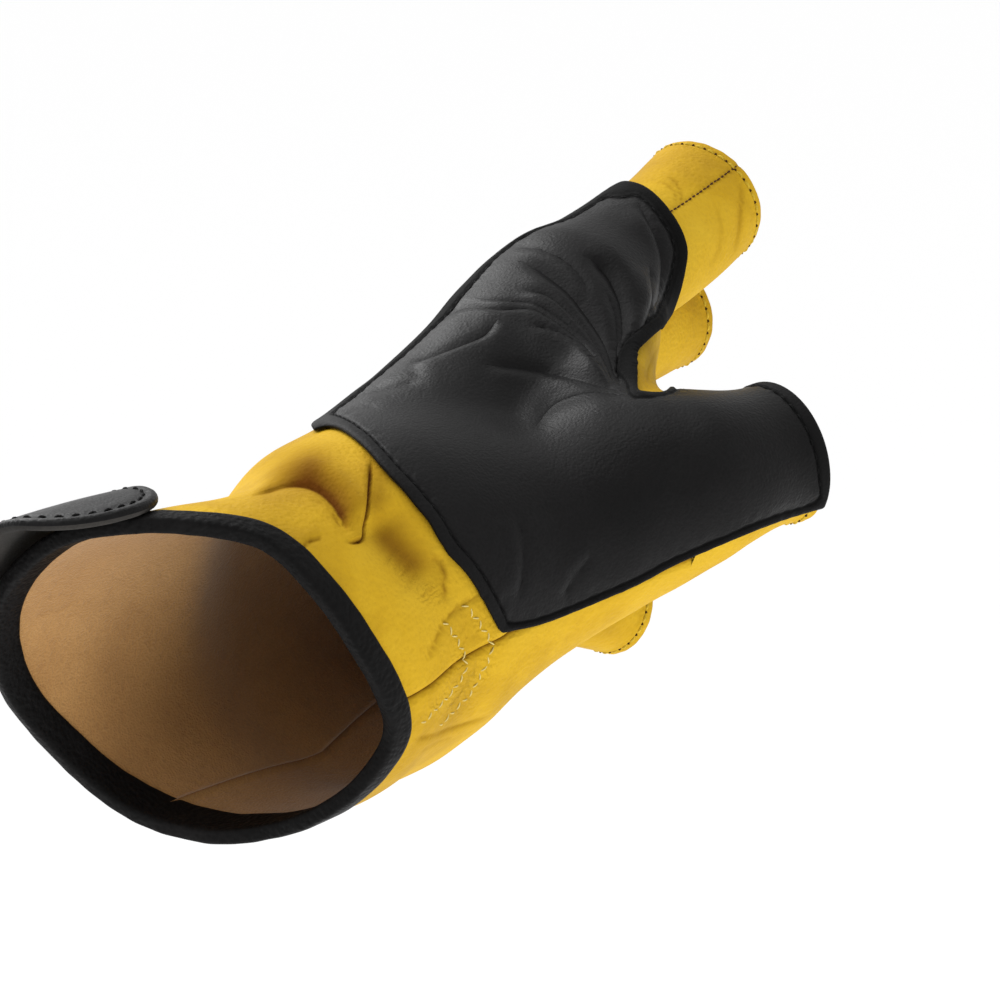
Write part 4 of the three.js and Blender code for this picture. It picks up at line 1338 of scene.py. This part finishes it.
TAB_STITCH = 2.6
row = evened(traced(tab_sheet, "tab", TAB_STITCH_LINE), TAB_STITCH)
row = raised(row, (tab_lift(row[0]) + TAB["thickness"] - 0.25)[:, None])
add_stitches("tab_stitches", [row], black_thread, 2.0, 0.28)


def pinned(sheet, line, spacing, softness=2.5):
    """A row on a sheet below a line of the view. Each point is the mean of the sheet's near points
    that face the view, weighted by a bell curve of their distance from it in the view."""
    places, _ = in_view(sheet["points"])
    facing = np.flatnonzero(facing_view(sheet["points"], sheet["normals"]) > 0.1)
    spots = smooth_line(line, 12)[::2]
    square = ((places[facing][None] - spots[:, None]) ** 2).sum(-1)
    weights = np.exp(-square / (2 * softness ** 2)) + 1e-12
    weights /= weights.sum(1)[:, None]
    found = {key: weights @ sheet[key][facing] for key in ("points", "normals")}
    return evened(found, spacing)


INDEX_SEAM = [(671, 211), (684, 203), (697, 194), (710, 185), (723, 176), (735, 167)]
row = pinned(stall_sheets["index"], INDEX_SEAM, 1.35)
add_stitches("index_seam_stitches", [row], brown_thread, 1.25, 0.17)

ELASTIC_ROWS = {
    "upper": [(466, 606), (476, 618), (485, 632), (492, 644), (489, 658), (482, 672), (471, 692), (456, 709),
              (441, 724)],
    "lower": [(446, 624), (456, 638), (463, 652), (466, 666), (460, 680), (450, 694), (438, 707), (424, 722)],
}
zigzag = []
for line in ELASTIC_ROWS.values():
    points, normals, ways = pinned(panels, line, 1.5)
    lean = np.where(np.arange(len(points)) % 2, 0.8, -0.8)[:, None]
    ways = ways + lean * np.cross(ways, normals)
    zigzag.append((points, normals, ways / np.linalg.norm(ways, axis=1)[:, None]))
add_stitches("elastic_zigzag", zigzag, pale_thread, 1.7, 0.15)

# Floor and light: a plain pale floor well below the glove, and soft studio lamps.
FLOOR_DEPTH = 700
FLOOR_REACH = 40000
corners = np.array([(-1, -1), (1, -1), (1, 1), (-1, 1)], float) * FLOOR_REACH
floor = add_mesh("floor", np.column_stack([corners, np.full(4, -FLOOR_DEPTH)]), np.array([[0, 1, 2, 3]]))
floor_paint = bpy.data.materials.new("floor_paint")
floor_paint.use_nodes = True
floor_paint.node_tree.nodes["Principled BSDF"].inputs["Base Color"].default_value = (0.92, 0.92, 0.92, 1)
floor_paint.node_tree.nodes["Principled BSDF"].inputs["Roughness"].default_value = 0.9
floor.data.materials.append(floor_paint)

world = bpy.data.worlds.new("studio")
world.use_nodes = True
world.node_tree.nodes["Background"].inputs["Color"].default_value = (1, 1, 1, 1)
world.node_tree.nodes["Background"].inputs["Strength"].default_value = 0.72
bpy.context.scene.world = world
bpy.context.scene.view_settings.view_transform = "Standard"

GLOVE_MIDDLE = np.array([60, 0, 15], float)
LAMPS = by_name(("kind", "from_view", "away", "width", "power", "mirrored"), {
    "sky": ("SUN", (-0.2, 0.95, 0.2), 1500, 60, 1.2, True),
    "key": ("AREA", (-0.7, 0.6, 0.7), 1100, 1100, 2.2, True),
    "fill": ("AREA", (0.55, -0.74, 0.38), 850, 600, 5, False),
    "back": ("AREA", (-0.6, 0.75, -0.4), 1100, 900, 12, True),
})
for name, lamp in LAMPS.items():
    right, up, toward = lamp["from_view"]
    way = right * RIGHT + up * UP + toward * TOWARD
    way /= np.linalg.norm(way)
    light = bpy.data.lights.new(name, lamp["kind"])
    light.energy = lamp["power"]
    if lamp["kind"] == "SUN":
        light.angle = math.radians(lamp["width"])
    else:
        light.size = lamp["width"] * MM
    stand = bpy.data.objects.new(name, light)
    stand.visible_glossy = lamp["mirrored"]
    side = np.cross([0, 0, 1], way)
    side /= np.linalg.norm(side)
    turned = np.eye(4)
    turned[:3, :3] = np.stack([side, np.cross(way, side), way], 1)
    turned[:3, 3] = (GLOVE_MIDDLE + lamp["away"] * way) * MM
    stand.matrix_world = Matrix(turned.tolist())
    bpy.context.scene.collection.objects.link(stand)

# Camera: the view of the photograph, with its lens worked out from the picture's scale.
SENSOR = 36
camera_data = bpy.data.cameras.new("camera")
camera_data.sensor_width = SENSOR
camera_data.lens = FOCAL_PIXELS * SENSOR / (2 * PICTURE_CENTRE)
camera_data.clip_end = 200
camera = bpy.data.objects.new("camera", camera_data)
turned = np.eye(4)
turned[:3, :3] = np.stack([RIGHT, UP, TOWARD], 1)
turned[:3, 3] = EYE * MM
camera.matrix_world = Matrix(turned.tolist())
bpy.context.scene.collection.objects.link(camera)
bpy.context.scene.camera = camera
